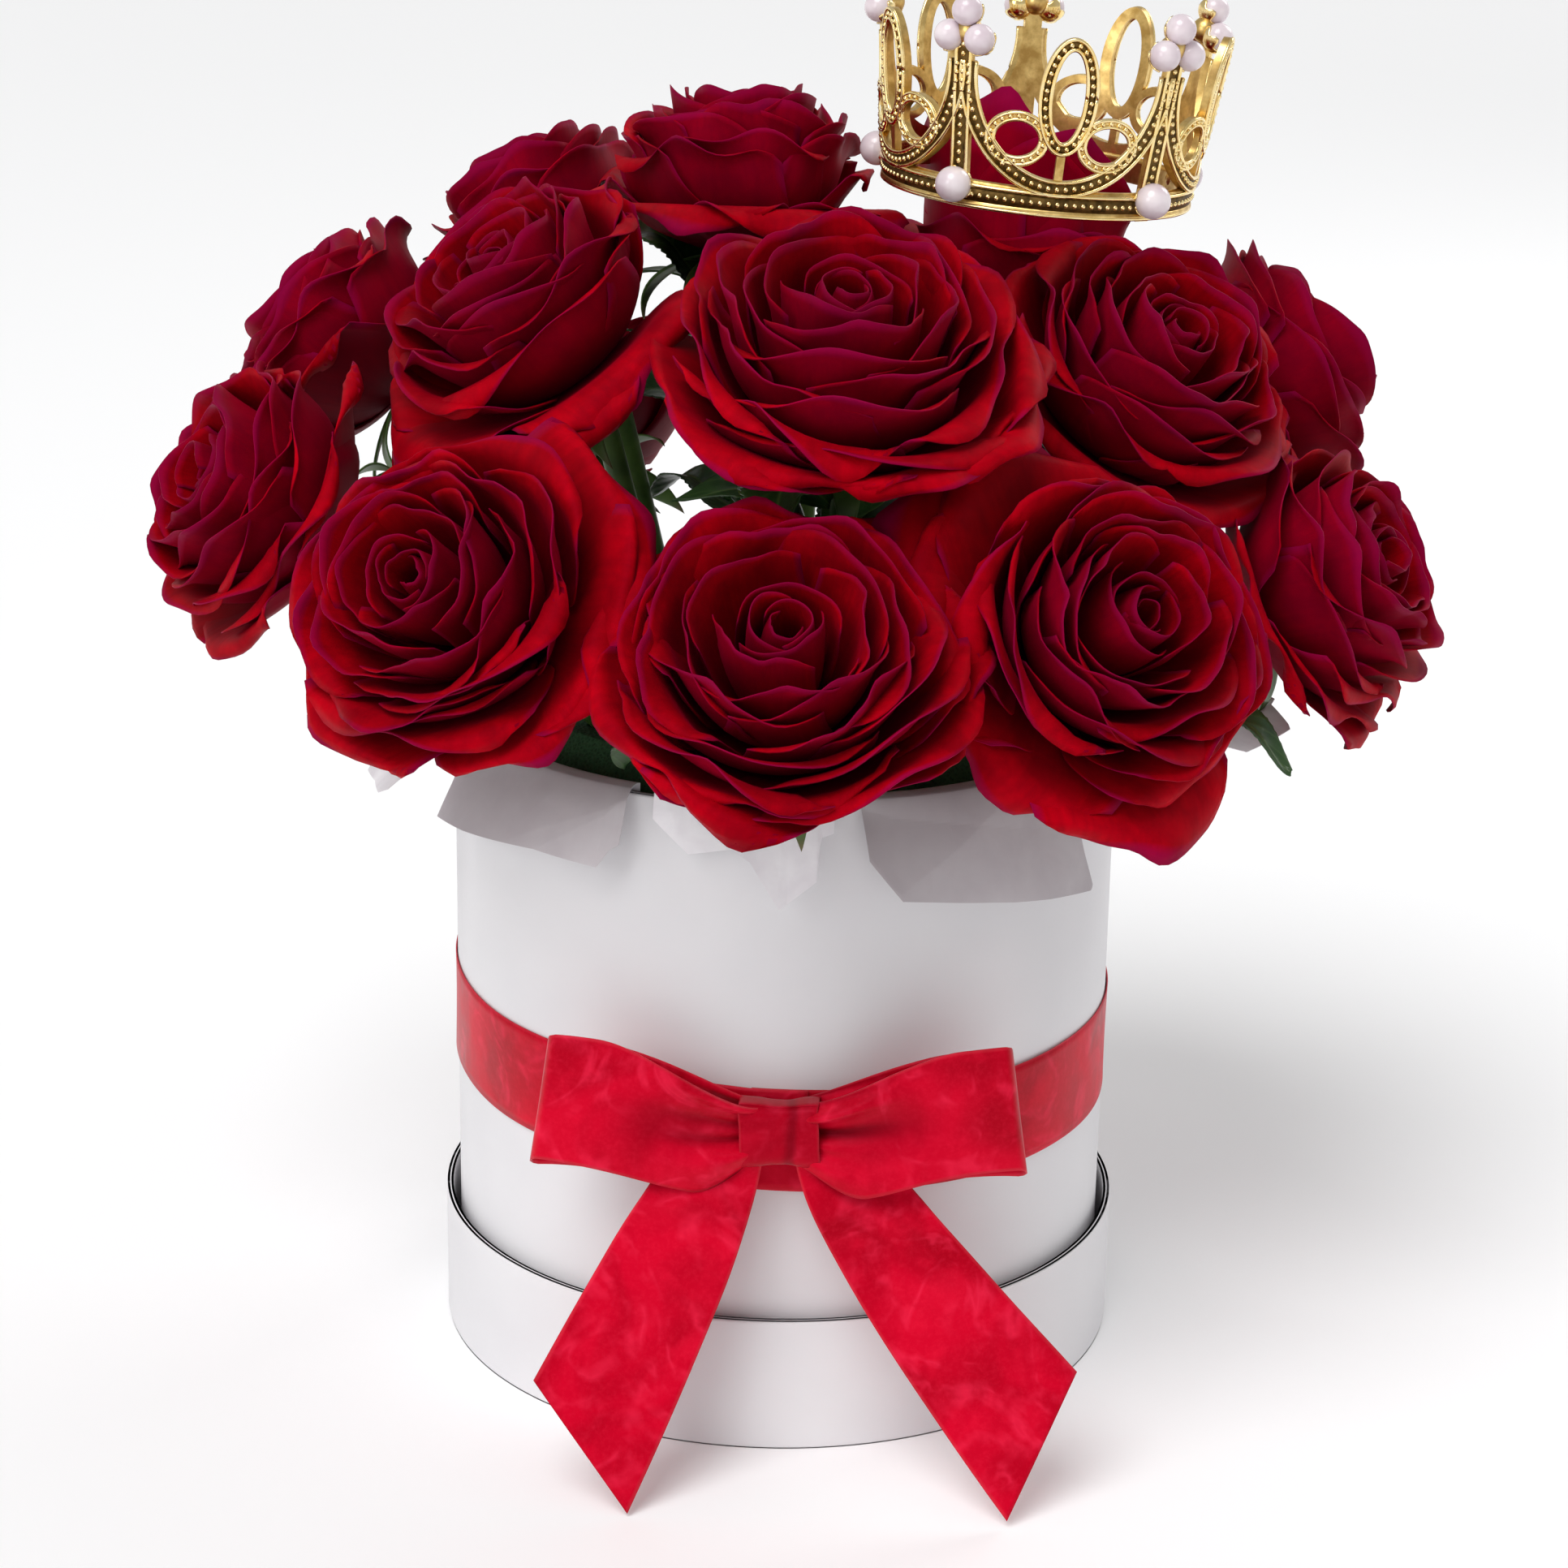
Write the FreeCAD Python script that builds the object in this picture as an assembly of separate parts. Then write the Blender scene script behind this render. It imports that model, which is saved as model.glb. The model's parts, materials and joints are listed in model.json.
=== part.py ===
import FreeCAD, Part
import math
import os
from collections import namedtuple

os.makedirs("parts", exist_ok=True)

# A flower box: roses set in floral foam inside a round paper-wrapped hat box that stands in its
# own lid. A satin ribbon and bow go round the box, tissue paper lines the rim, and a small
# pearl crown sits on the flowers. Millimetres, +Z up, front of the bow towards -Y.
# Origin: centre of the lid's underside, on the table.

# Lid, used here as the base tray
lid_height = 33.0
lid_wall = 1.8
lid_floor = 2.0
lid_gap = 1.7

# Box
box_radius = 80.0
box_wall = 2.0
box_floor = 2.0
box_height = 156.0

# Plastic liner and floral foam inside the box
tissue_thickness = 0.6
tissue_gap = 0.9
tissue_tuck = 45.0
liner_wall = 1.0
liner_height = 118.0
foam_gap = 0.4
foam_above_rim = 5.0
foam_edge = 9.0

# Ribbon round the box, its bow and tails
ribbon_width = 25.0
ribbon_thickness = 0.5
band_height = 79.7
band_rise_back = 2.2
band_rise_left = 3.3
bow_ribbon_width = 31.0
knot_width = 18.0
knot_squeeze = 15.5
knot_depth = 9.0
knot_lift = 3.5
loop_length = 45.0
loop_depth = 12.0
loop_fan = 1.5
loop_pinch = 0.8
loop_lift = 4.0
loop_rise_left = 4.5
loop_rise_right = 3.0
tail_forward = 29.0
tail_neck = 4.5
tail_neck_inner = 2.0
tail_neck_outer = 7.0
tail_neck_share = 0.9
tail_foot_gap = 1.2
tail_cut = 20.0
tail_top_inner = {-1: 5.0, 1: 8.0}
tail_foot_inner = {-1: 34.5, 1: 56.5}

# Roses
stem_radius = 2.8
stem_clearance = 0.35
stem_in_foam = 40.0
stem_hole_reach = 120.0
hip_radius = 5.0
hip_length = 9.0
hip_neck = 0.95
leaf_length = 34.0
leaf_width = 19.0
leaf_thickness = 0.7
bloom_height = 43.0
bloom_widest = 26.0
bloom_foot_lap = 0.4
bloom_belly_out = 0.78
bloom_belly_up = 0.42

# Crown
crown_base_radius = 35.5
crown_top_radius = 40.5
crown_height = 39.0
crown_uprights = 5
crown_first_azimuth = -33.0
crown_thickness = 1.7
crown_ring_height = 6.0
crown_rim_radius = 1.0
upright_width = 4.0
swag_width = 3.6
swag_below_tip = 5.5
loop_width = 2.7
loop_half_width = 5.2
loop_half_height = 12.0
loop_above_tip = 1.0
scroll_width = 1.9
scroll_half_height = 5.2
scroll_above_loop_foot = 1.5
pearl_radius = 3.5
foot_pearl_radius = 4.1
pearl_seat = 0.05
pearl_pitch = 2.24
pearl_stack = 1.69
pearl_drop = 0.5
foot_pearl_out = 0.75
foot_pearl_up = 0.85
foot_cup_size = 0.62
foot_cup_drop = 0.3
tip_core_size = 0.9
tip_core_in = 0.3
tip_core_up = 0.2
crown_azimuth = 109.5
crown_reach = -19.5
crown_above_rim = 121.0
crown_lean = 4.5

Z = FreeCAD.Vector(0, 0, 1)
ORIGIN = FreeCAD.Vector(0, 0, 0)

lid_inner = box_radius + lid_gap
lid_outer = lid_inner + lid_wall
rim_z = lid_floor + box_height
box_inner = box_radius - box_wall
liner_outer = box_inner - 2 * tissue_gap - tissue_thickness
liner_inner = liner_outer - liner_wall
foam_radius = liner_inner - foam_gap
foam_bottom = lid_floor + box_floor + liner_wall
foam_top = rim_z + foam_above_rim

# Each rose: where the middle of its widest ring is, as an azimuth from the front towards +X, a reach
# past the box wall and a rise above the rim; its radius; the azimuth and the tilt from upright
# that it faces; and how far below the rim its stem points to on the box's axis.
Rose = namedtuple("Rose", "azimuth reach rise radius facing tilt root_depth")
roses = [
    Rose(-0.5, 24.0, 44.0, 41.0, 0.0, 37.0, 45.0),
    Rose(-44.5, 31.5, 49.0, 36.0, -32.0, 58.0, 48.0),
    Rose(42.0, 30.5, 44.0, 36.0, 30.0, 58.0, 50.0),
    Rose(-86.5, 51.0, 53.0, 33.0, -68.0, 62.0, 48.0),
    Rose(84.0, 53.0, 39.0, 33.0, 66.0, 62.0, 42.0),
    Rose(14.0, -30.5, 101.0, 43.5, 4.0, 24.0, 98.0),
    Rose(-83.0, -14.5, 102.0, 36.0, -62.0, 38.0, 98.0),
    Rose(84.0, 6.5, 88.0, 36.0, 45.0, 40.0, 90.0),
    Rose(-115.0, 49.0, 79.0, 33.0, -100.0, 55.0, 58.0),
    Rose(111.0, 52.5, 76.0, 33.0, 95.0, 58.0, 53.0),
    Rose(-137.0, 15.5, 108.0, 29.0, -125.0, 36.0, 98.0),
    Rose(-163.5, -34.0, 127.0, 30.0, 176.0, 10.0, 98.0),
    Rose(129.5, -7.5, 103.0, 30.0, 140.0, 14.0, 118.0),
    Rose(-151.5, 47.5, 50.0, 34.0, -152.0, 54.0, 50.0),
    Rose(177.0, 26.0, 74.0, 37.0, 178.0, 48.0, 63.0),
    Rose(140.5, 52.0, 47.0, 34.0, 140.0, 56.0, 48.0),
]

# Tissue sheets folded over the rim: azimuth of the middle, sweep, how far the outer edge
# reaches out past the box, and how far it drops.
Fold = namedtuple("Fold", "azimuth sweep reach drop")
tissues = [
    Fold(-81.0, 28.0, 19.0, 14.0),
    Fold(-44.5, 39.0, 7.0, 15.0),
    Fold(-6.5, 29.0, 6.0, 19.0),
    Fold(31.5, 39.0, 10.0, 24.0),
    Fold(65.0, 20.0, 11.0, 14.0),
    Fold(90.0, 30.0, 38.0, 5.0),
    Fold(150.0, 70.0, 14.0, 12.0),
    Fold(-134.5, 69.0, 16.0, 12.0),
]

# Loose leaves: azimuth, reach past the box wall and rise above the rim of the stalk end, then the
# azimuth and the tilt that the leaf points to.
Leaf = namedtuple("Leaf", "azimuth reach rise facing tilt")
leaves = {
    "leaf_left": Leaf(-25.0, 4.0, 7.0, 38.0, 102.0),
    "leaf_right": Leaf(60.5, 16.5, 10.0, 62.0, 92.0),
}


def write(name, solids):
    """Checks that every solid is valid and writes one node."""
    if not isinstance(solids, list):
        solids = [solids]
    flat = []
    for solid in solids:
        flat.extend(solid.Solids)
    for solid in flat:
        if not solid.isValid() or not solid.isClosed() or solid.Volume <= 0:
            raise ValueError("bad solid in " + name)
    shape = flat[0] if len(flat) == 1 else Part.makeCompound(flat)
    shape.exportStep("parts/" + name + ".step")


def heading(azimuth, tilt):
    """Unit direction: azimuth from the front towards +X, tilt away from straight up."""
    a = math.radians(azimuth)
    t = math.radians(tilt)
    return FreeCAD.Vector(math.sin(t) * math.sin(a), -math.sin(t) * math.cos(a), math.cos(t))


def beside(azimuth, reach, rise):
    """Point at an azimuth, past the box wall by a reach and above the rim by a rise."""
    a = math.radians(azimuth)
    radius = box_radius + reach
    return FreeCAD.Vector(radius * math.sin(a), -radius * math.cos(a), rim_z + rise)


def aim(shape, place, direction):
    """Turns a shape built along +Z to a direction and sets its origin at a place."""
    placed = shape.copy()
    placed.Placement = FreeCAD.Placement(place, FreeCAD.Rotation(Z, direction))
    return placed


def turned(shape, azimuth):
    """Copy of a shape built at the front, turned about +Z to an azimuth."""
    copy = shape.copy()
    copy.rotate(ORIGIN, Z, azimuth)
    return copy


def tray(radius, wall, floor, height, bottom):
    """Round tube, and the disc that closes its lower end, as two pieces."""
    tube = Part.makeCylinder(radius, height, FreeCAD.Vector(0, 0, bottom))
    bore = Part.makeCylinder(radius - wall, height, FreeCAD.Vector(0, 0, bottom))
    disc = Part.makeCylinder(radius - wall, floor, FreeCAD.Vector(0, 0, bottom))
    return tube.cut(bore), disc


def liner():
    """Plastic cup with an open top that keeps the wet foam off the cardboard."""
    bottom = lid_floor + box_floor
    outside = Part.makeCylinder(liner_outer, liner_height, FreeCAD.Vector(0, 0, bottom))
    inside = Part.makeCylinder(liner_inner, liner_height, FreeCAD.Vector(0, 0, foam_bottom))
    return outside.cut(inside)


def bloom_axis(rose):
    """Direction that the bloom faces."""
    return heading(rose.facing, rose.tilt)


def bloom_base(rose):
    """Foot of the bloom, behind its widest ring along the way it faces."""
    return beside(rose.azimuth, rose.reach, rose.rise) - bloom_axis(rose) * bloom_widest


def stem_axis(rose):
    """Direction of the stem, from its point on the box's axis out to the hip."""
    hip = bloom_base(rose) - bloom_axis(rose) * hip_length
    return (hip - FreeCAD.Vector(0, 0, rim_z - rose.root_depth)).normalize()


def bloom(rose):
    """Closed cup of petals: an arc out to the widest ring, and a cap of a sphere over it."""
    radius = rose.radius
    cap = bloom_height - bloom_widest
    ball = (radius ** 2 + cap ** 2) / (2 * cap)
    foot = FreeCAD.Vector(hip_radius + bloom_foot_lap, 0, 0)
    belly = FreeCAD.Vector(radius * bloom_belly_out, 0, bloom_widest * bloom_belly_up)
    ring = FreeCAD.Vector(radius, 0, bloom_widest)
    top = FreeCAD.Vector(0, 0, bloom_height)
    half = FreeCAD.Vector(radius / 2, 0, bloom_height - ball + math.sqrt(ball ** 2 - radius ** 2 / 4))
    below = Part.Arc(foot, belly, ring).toShape()
    above = Part.Arc(ring, half, top).toShape()
    outline = Part.Wire([Part.makeLine(ORIGIN, foot), below, above, Part.makeLine(top, ORIGIN)])
    cup = Part.Face(outline).revolve(ORIGIN, Z, 360)
    return aim(cup, bloom_base(rose), bloom_axis(rose))


def stem_end(rose):
    """Lower end of the stem, stem_in_foam below the place where it enters the foam."""
    axis = stem_axis(rose)
    hip = bloom_base(rose) - bloom_axis(rose) * hip_length
    reach = (hip.z - foam_top) / axis.z
    radial = math.hypot(axis.x, axis.y)
    side = (math.hypot(hip.x, hip.y) - foam_radius) / radial
    return hip - axis * (max(reach, side) + stem_in_foam)


def stem(rose):
    """Stem with the green hip that the petals grow from."""
    end = stem_end(rose)
    hip_low = bloom_base(rose) - bloom_axis(rose) * hip_length
    rod = Part.makeCylinder(stem_radius, (hip_low - end).Length, end, stem_axis(rose))
    knee = Part.makeSphere(stem_radius, hip_low)
    hip = Part.makeCone(stem_radius * hip_neck, hip_radius, hip_length, hip_low, bloom_axis(rose))
    return rod.fuse([knee, hip]).removeSplitter()


def stem_hole(rose):
    """Hole that the stem has pushed into the foam, a little wider and deeper than the stem."""
    axis = stem_axis(rose)
    start = stem_end(rose) - axis * stem_clearance
    return Part.makeCylinder(stem_radius + stem_clearance, stem_hole_reach, start, axis)


def foam():
    """Block of floral foam with a bevelled top edge and one hole for each stem."""
    block = Part.makeCylinder(foam_radius, foam_top - foam_bottom, FreeCAD.Vector(0, 0, foam_bottom))
    top_edge = [e for e in block.Edges if len(e.Vertexes) == 1 and e.Vertexes[0].Z > foam_top - 1]
    block = block.makeChamfer(foam_edge, top_edge)
    for rose in roses:
        block = block.cut(stem_hole(rose))
    return block


def tissue(azimuth, sweep, reach, drop):
    """Folded sheet: up inside the box wall, over the rim, then out and down outside it."""
    inner = box_inner - tissue_gap
    outer = box_radius + tissue_gap
    over = rim_z + tissue_gap
    t = tissue_thickness
    outline = [
        (inner - t, rim_z - tissue_tuck),
        (inner, rim_z - tissue_tuck),
        (inner, over),
        (outer, over),
        (outer + reach, over - drop),
        (outer + reach + t, over - drop + t),
        (outer + t, over + t),
        (inner - t, over + t),
    ]
    wire = Part.makePolygon([FreeCAD.Vector(0, -r, z) for r, z in outline + outline[:1]])
    sheet = Part.Face(wire).revolve(ORIGIN, Z, sweep)
    return turned(sheet, azimuth - sweep / 2)


def band():
    """Ribbon pulled flat round the box, a little higher at the back and at the left."""
    inner = Part.makeCylinder(box_radius, 4 * ribbon_width, FreeCAD.Vector(0, 0, -2 * ribbon_width))
    outer = Part.makeCylinder(box_radius + ribbon_thickness, 4 * ribbon_width,
                              FreeCAD.Vector(0, 0, -2 * ribbon_width))
    tube = outer.cut(inner)
    slab = Part.makeBox(4 * box_radius, 4 * box_radius, ribbon_width,
                        FreeCAD.Vector(-2 * box_radius, -2 * box_radius, -ribbon_width / 2))
    normal = FreeCAD.Vector(band_rise_left, -band_rise_back, box_radius).normalize()
    slab.Placement = FreeCAD.Placement(ORIGIN, FreeCAD.Rotation(Z, normal))
    strip = tube.common(slab)
    strip.translate(FreeCAD.Vector(0, 0, band_height))
    return strip


knot_front = -(box_radius + ribbon_thickness + knot_lift + knot_depth)
knot_z = band_height + knot_lift
knot_height = bow_ribbon_width - knot_squeeze


def block(sections):
    """Soft solid lofted through upright rectangles, each (x, middle y, middle z, depth, height)."""
    wires = []
    for x, y, z, depth, height in sections:
        corners = [(y - depth / 2, z - height / 2), (y + depth / 2, z - height / 2),
                   (y + depth / 2, z + height / 2), (y - depth / 2, z + height / 2)]
        wires.append(Part.makePolygon([FreeCAD.Vector(x, b, c) for b, c in corners + corners[:1]]))
    return Part.makeLoft(wires, True, True)


def bow_loop(side, rise):
    """One loop of the bow: pinched at the knot, wide and a little raised at its outer end."""
    y = knot_front + knot_depth / 2
    start = side * (knot_width / 2)
    finish = side * (knot_width / 2 + loop_length)
    middle = (start + finish) / 2
    wide_z = knot_z + loop_lift
    return block([
        (start, y, knot_z, knot_depth * loop_pinch, knot_height * loop_pinch),
        (middle, y, wide_z + rise / 2, loop_depth, bow_ribbon_width + loop_fan),
        (finish, y, wide_z + rise, loop_depth, bow_ribbon_width + loop_fan),
    ])


def bow_knot():
    """The wrapped middle of the bow."""
    y = knot_front + knot_depth / 2
    return block([
        (-knot_width / 2, y, knot_z, knot_depth, knot_height),
        (knot_width / 2, y, knot_z, knot_depth, knot_height),
    ])


def bow_tail(side):
    """Flat ribbon end that leans forward past the lid and is cut on the slant just above the table."""
    shoulder_z = knot_z - knot_height / 2 - tail_neck
    back = knot_front + knot_depth / 2
    half = bow_ribbon_width / 2
    top = FreeCAD.Vector(side * (tail_top_inner[side] + half), back, shoulder_z)
    foot = FreeCAD.Vector(side * (tail_foot_inner[side] + half), back - tail_forward, 0)
    along = (foot - top).normalize()
    sideways = FreeCAD.Vector(side, 0, 0)
    across = (sideways - along * along.x * side).normalize()
    slope = FreeCAD.Vector(0, along.y, along.z) * (1 / along.z)
    shift = half * across.z / along.z

    def point(down, out):
        return top + along * down + across * out

    def neck(x):
        return FreeCAD.Vector(side * x, back, shoulder_z) + slope * (tail_neck * tail_neck_share)

    length = (tail_foot_gap - top.z + half * across.z) / along.z
    corners = [
        neck(tail_neck_inner),
        neck(tail_neck_outer),
        point(-shift, half),
        point(length - tail_cut, half),
        point(length, -half),
        point(shift, -half),
    ]
    face = Part.Face(Part.makePolygon(corners + corners[:1]))
    normal = face.normalAt(0, 0)
    return face.extrude(normal * ribbon_thickness * (1 if normal.z > 0 else -1))


def ellipse_ring(x, z, half_width, half_height, width):
    """Flat elliptical ring of the crown's lace, in the plane y = 0, as a face with a hole."""
    def oval(a, b):
        major = a if a > b else b
        minor = b if a > b else a
        curve = Part.Ellipse(ORIGIN, major, minor).toShape()
        wire = Part.Wire(curve)
        if b >= a:
            wire.rotate(ORIGIN, Z, 90)
        wire.rotate(ORIGIN, FreeCAD.Vector(1, 0, 0), 90)
        wire.translate(FreeCAD.Vector(x, 0, z))
        return Part.Face(wire)

    outer = oval(half_width + width / 2, half_height + width / 2)
    return outer.cut(oval(half_width - width / 2, half_height - width / 2))


def flare(height):
    """Crown radius at a height above the base ring's underside."""
    return crown_base_radius + (crown_top_radius - crown_base_radius) * height / crown_height


def oval_reach(half_width, half_height, below):
    """Half width of an oval at a depth below its middle."""
    return half_width * math.sqrt(1 - (below / half_height) ** 2)


def crown_panel():
    """Lace between two uprights: a swag, a tall loop, a scroll each side of it, and a centre post."""
    reach = crown_top_radius + crown_thickness
    deep = FreeCAD.Vector(0, -2 * reach, 0)
    swag_top = crown_height - swag_below_tip
    swag_depth = swag_top - crown_ring_height - swag_width / 2 + crown_rim_radius
    half_span = flare(0.6 * crown_height) * math.sin(math.pi / crown_uprights)
    swag = ellipse_ring(0, swag_top, half_span, swag_depth, swag_width).extrude(deep)
    keep = Part.makeBox(4 * half_span, 2 * reach, swag_top, FreeCAD.Vector(-2 * half_span, -2 * reach, 0))
    loop_middle = crown_height + loop_above_tip - loop_half_height
    loop = ellipse_ring(0, loop_middle, loop_half_width, loop_half_height, loop_width).extrude(deep)
    scroll_z = loop_middle - loop_half_height + scroll_above_loop_foot
    loop_x = oval_reach(loop_half_width, loop_half_height, loop_middle - scroll_z)
    swag_x = oval_reach(half_span, swag_depth, swag_top - scroll_z)
    scroll_half_width = (swag_x - loop_x - swag_width) / 2
    pieces = [swag.common(keep), loop]
    for side in (-1, 1):
        middle = side * (swag_x + loop_x) / 2
        scroll = ellipse_ring(middle, scroll_z, scroll_half_width, scroll_half_height, scroll_width)
        pieces.append(scroll.extrude(deep))
    post_height = loop_middle - loop_half_height - crown_ring_height
    pieces.append(Part.makeBox(scroll_width, 2 * reach, post_height,
                               FreeCAD.Vector(-scroll_width / 2, -2 * reach, crown_ring_height)))
    lace = pieces[0].multiFuse(pieces[1:])
    tall = 2 * crown_height
    half = crown_thickness / 2
    skin = Part.makeCone(flare(0) + half, flare(tall) + half, tall)
    hollow = Part.makeCone(flare(0) - half, flare(tall) - half, tall)
    return lace.common(skin.cut(hollow))


def crown_upright():
    """Tapering strap up the crown's side, leaning out with the flare."""
    lean = math.degrees(math.atan2(crown_top_radius - crown_base_radius, crown_height))
    strap = Part.makeBox(upright_width, crown_thickness, crown_height,
                         FreeCAD.Vector(-upright_width / 2, -crown_thickness / 2, 0))
    strap.rotate(ORIGIN, FreeCAD.Vector(1, 0, 0), lean)
    strap.translate(FreeCAD.Vector(0, -flare(0), 0))
    return strap


def pearl_places():
    """Middles and sizes of the pearls on one upright: one at its foot and three round its tip."""
    tip = flare(crown_height) + crown_thickness / 2
    foot = flare(crown_ring_height) + foot_pearl_radius * foot_pearl_out
    pair_z = crown_height - pearl_drop
    half_pitch = pearl_radius * pearl_pitch / 2
    return [
        (FreeCAD.Vector(0, -foot, crown_ring_height * foot_pearl_up), foot_pearl_radius),
        (FreeCAD.Vector(-half_pitch, -tip, pair_z), pearl_radius),
        (FreeCAD.Vector(half_pitch, -tip, pair_z), pearl_radius),
        (FreeCAD.Vector(0, -tip, pair_z + pearl_radius * pearl_stack), pearl_radius),
    ]


def pearl_cups():
    """Balls of metal behind the foot pearl and inside the trio, which the pearls are set into."""
    size = foot_pearl_radius * foot_cup_size
    foot = pearl_places()[0][0] + FreeCAD.Vector(0, size, -foot_pearl_radius * foot_cup_drop)
    tip = -flare(crown_height) + pearl_radius * tip_core_in
    core = FreeCAD.Vector(0, tip, crown_height + pearl_radius * tip_core_up)
    return [(foot, size), (core, pearl_radius * tip_core_size)]


def crown_ring():
    """Base ring: a thin band between two rounded rims."""
    top = crown_ring_height - crown_rim_radius
    band_part = Part.makeCylinder(crown_base_radius + crown_thickness / 2, top,
                                  FreeCAD.Vector(0, 0, crown_rim_radius / 2))
    hollow = Part.makeCylinder(crown_base_radius - crown_thickness / 2, top,
                               FreeCAD.Vector(0, 0, crown_rim_radius / 2))
    rims = []
    for height in (crown_rim_radius, crown_ring_height - crown_rim_radius / 2):
        rims.append(Part.makeTorus(crown_base_radius + crown_thickness / 4, crown_rim_radius,
                                   FreeCAD.Vector(0, 0, height)))
    return band_part.cut(hollow).multiFuse(rims)


def seated(shape):
    """Sets a crown piece on the flowers, with the crown's slight lean."""
    placed = shape.copy()
    lean = FreeCAD.Rotation(FreeCAD.Vector(0, 1, 0), crown_lean)
    seat = beside(crown_azimuth, crown_reach, crown_above_rim)
    placed.Placement = FreeCAD.Placement(seat, lean).multiply(placed.Placement)
    return placed


def crown():
    """The crown's metal casting and its pearls."""
    step = 360.0 / crown_uprights
    panel = crown_panel()
    upright = crown_upright()
    metal = []
    pearls = []
    seats = []
    for i in range(crown_uprights):
        azimuth = crown_first_azimuth + i * step
        metal.append(turned(upright, azimuth))
        metal.append(turned(panel, azimuth + step / 2))
        for place, radius in pearl_places():
            pearls.append(turned(Part.makeSphere(radius, place), azimuth))
            seats.append(turned(Part.makeSphere(radius + pearl_seat, place), azimuth))
        for middle, radius in pearl_cups():
            metal.append(turned(Part.makeSphere(radius, middle), azimuth))
    frame = crown_ring().multiFuse(metal)
    frame = frame.cut(Part.makeCompound(seats))
    return seated(frame), [seated(p) for p in pearls]


def leaf(spot):
    """Pointed rose leaf: a thin plate between two arcs, flat side up, pointing outwards."""
    tip = FreeCAD.Vector(0, -leaf_length, 0)
    arcs = []
    for side in (-1, 1):
        edge = FreeCAD.Vector(side * leaf_width / 2, -leaf_length / 2, 0)
        arcs.append(Part.Arc(ORIGIN, edge, tip).toShape())
    blade = Part.Face(Part.Wire(Part.sortEdges(arcs)[0])).extrude(FreeCAD.Vector(0, 0, leaf_thickness))
    blade.rotate(ORIGIN, FreeCAD.Vector(1, 0, 0), 90 - spot.tilt)
    blade = turned(blade, spot.facing)
    blade.translate(beside(spot.azimuth, spot.reach, spot.rise))
    return blade


lid_tube, lid_disc = tray(lid_outer, lid_wall, lid_floor, lid_height, 0.0)
write("lid_wall", lid_tube)
write("lid_disc", lid_disc)

box_tube, box_disc = tray(box_radius, box_wall, box_floor, box_height, lid_floor)
write("box_wall", box_tube)
write("box_base", box_disc)
write("foam_liner", liner())
write("floral_foam", foam())

write("ribbon_band", band())
write("bow_knot", bow_knot())
write("bow_loop_left", bow_loop(-1, loop_rise_left))
write("bow_loop_right", bow_loop(1, loop_rise_right))
write("bow_tail_left", bow_tail(-1))
write("bow_tail_right", bow_tail(1))

for number, fold in enumerate(tissues, 1):
    write("tissue_sheet_%d" % number, tissue(*fold))

for number, rose in enumerate(roses, 1):
    write("rose_%02d_bloom" % number, bloom(rose))
    write("rose_%02d_stem" % number, stem(rose))

for name, spot in leaves.items():
    write(name, leaf(spot))

crown_frame, crown_pearls = crown()
write("crown_frame", crown_frame)
write("crown_pearls", crown_pearls)
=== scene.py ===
import json
import math

import bmesh
import bpy
import numpy as np
from mathutils import Matrix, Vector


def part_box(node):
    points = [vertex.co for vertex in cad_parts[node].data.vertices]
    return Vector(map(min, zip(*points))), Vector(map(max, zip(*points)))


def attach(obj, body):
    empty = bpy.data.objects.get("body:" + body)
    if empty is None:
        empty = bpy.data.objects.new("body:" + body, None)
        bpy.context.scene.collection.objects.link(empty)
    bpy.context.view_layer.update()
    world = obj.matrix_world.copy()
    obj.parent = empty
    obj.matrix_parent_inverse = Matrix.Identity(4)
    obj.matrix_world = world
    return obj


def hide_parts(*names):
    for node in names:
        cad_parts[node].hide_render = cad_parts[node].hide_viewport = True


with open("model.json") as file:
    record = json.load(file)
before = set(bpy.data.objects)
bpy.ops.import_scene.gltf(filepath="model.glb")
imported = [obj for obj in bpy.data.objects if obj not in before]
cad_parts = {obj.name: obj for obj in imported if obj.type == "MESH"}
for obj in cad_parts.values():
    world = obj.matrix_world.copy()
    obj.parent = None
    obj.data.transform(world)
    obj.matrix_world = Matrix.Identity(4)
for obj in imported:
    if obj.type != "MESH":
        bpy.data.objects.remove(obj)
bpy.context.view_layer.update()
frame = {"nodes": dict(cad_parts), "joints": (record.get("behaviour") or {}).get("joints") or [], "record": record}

# ---- Table and light ----
# The box stands on a plain white table in a white studio: one broad soft light overhead, a
# weaker one from the left, one from behind, and a white surround, brightest low down.


class Socket:
    """A shader socket that takes arithmetic: an expression on sockets adds its Math nodes."""

    def __init__(self, shader, socket):
        self.shader = shader
        self.socket = socket

    def math(self, operation, *others, swap=False):
        values = [self, *others]
        if swap:
            values.reverse()
        return self.shader.node("ShaderNodeMath", {"operation": operation}, dict(enumerate(values)))

    def __add__(self, other):
        return self.math("ADD", other)

    def __sub__(self, other):
        return self.math("SUBTRACT", other)

    def __rsub__(self, other):
        return self.math("SUBTRACT", other, swap=True)

    def __mul__(self, other):
        return self.math("MULTIPLY", other)

    __radd__ = __add__
    __rmul__ = __mul__


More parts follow.
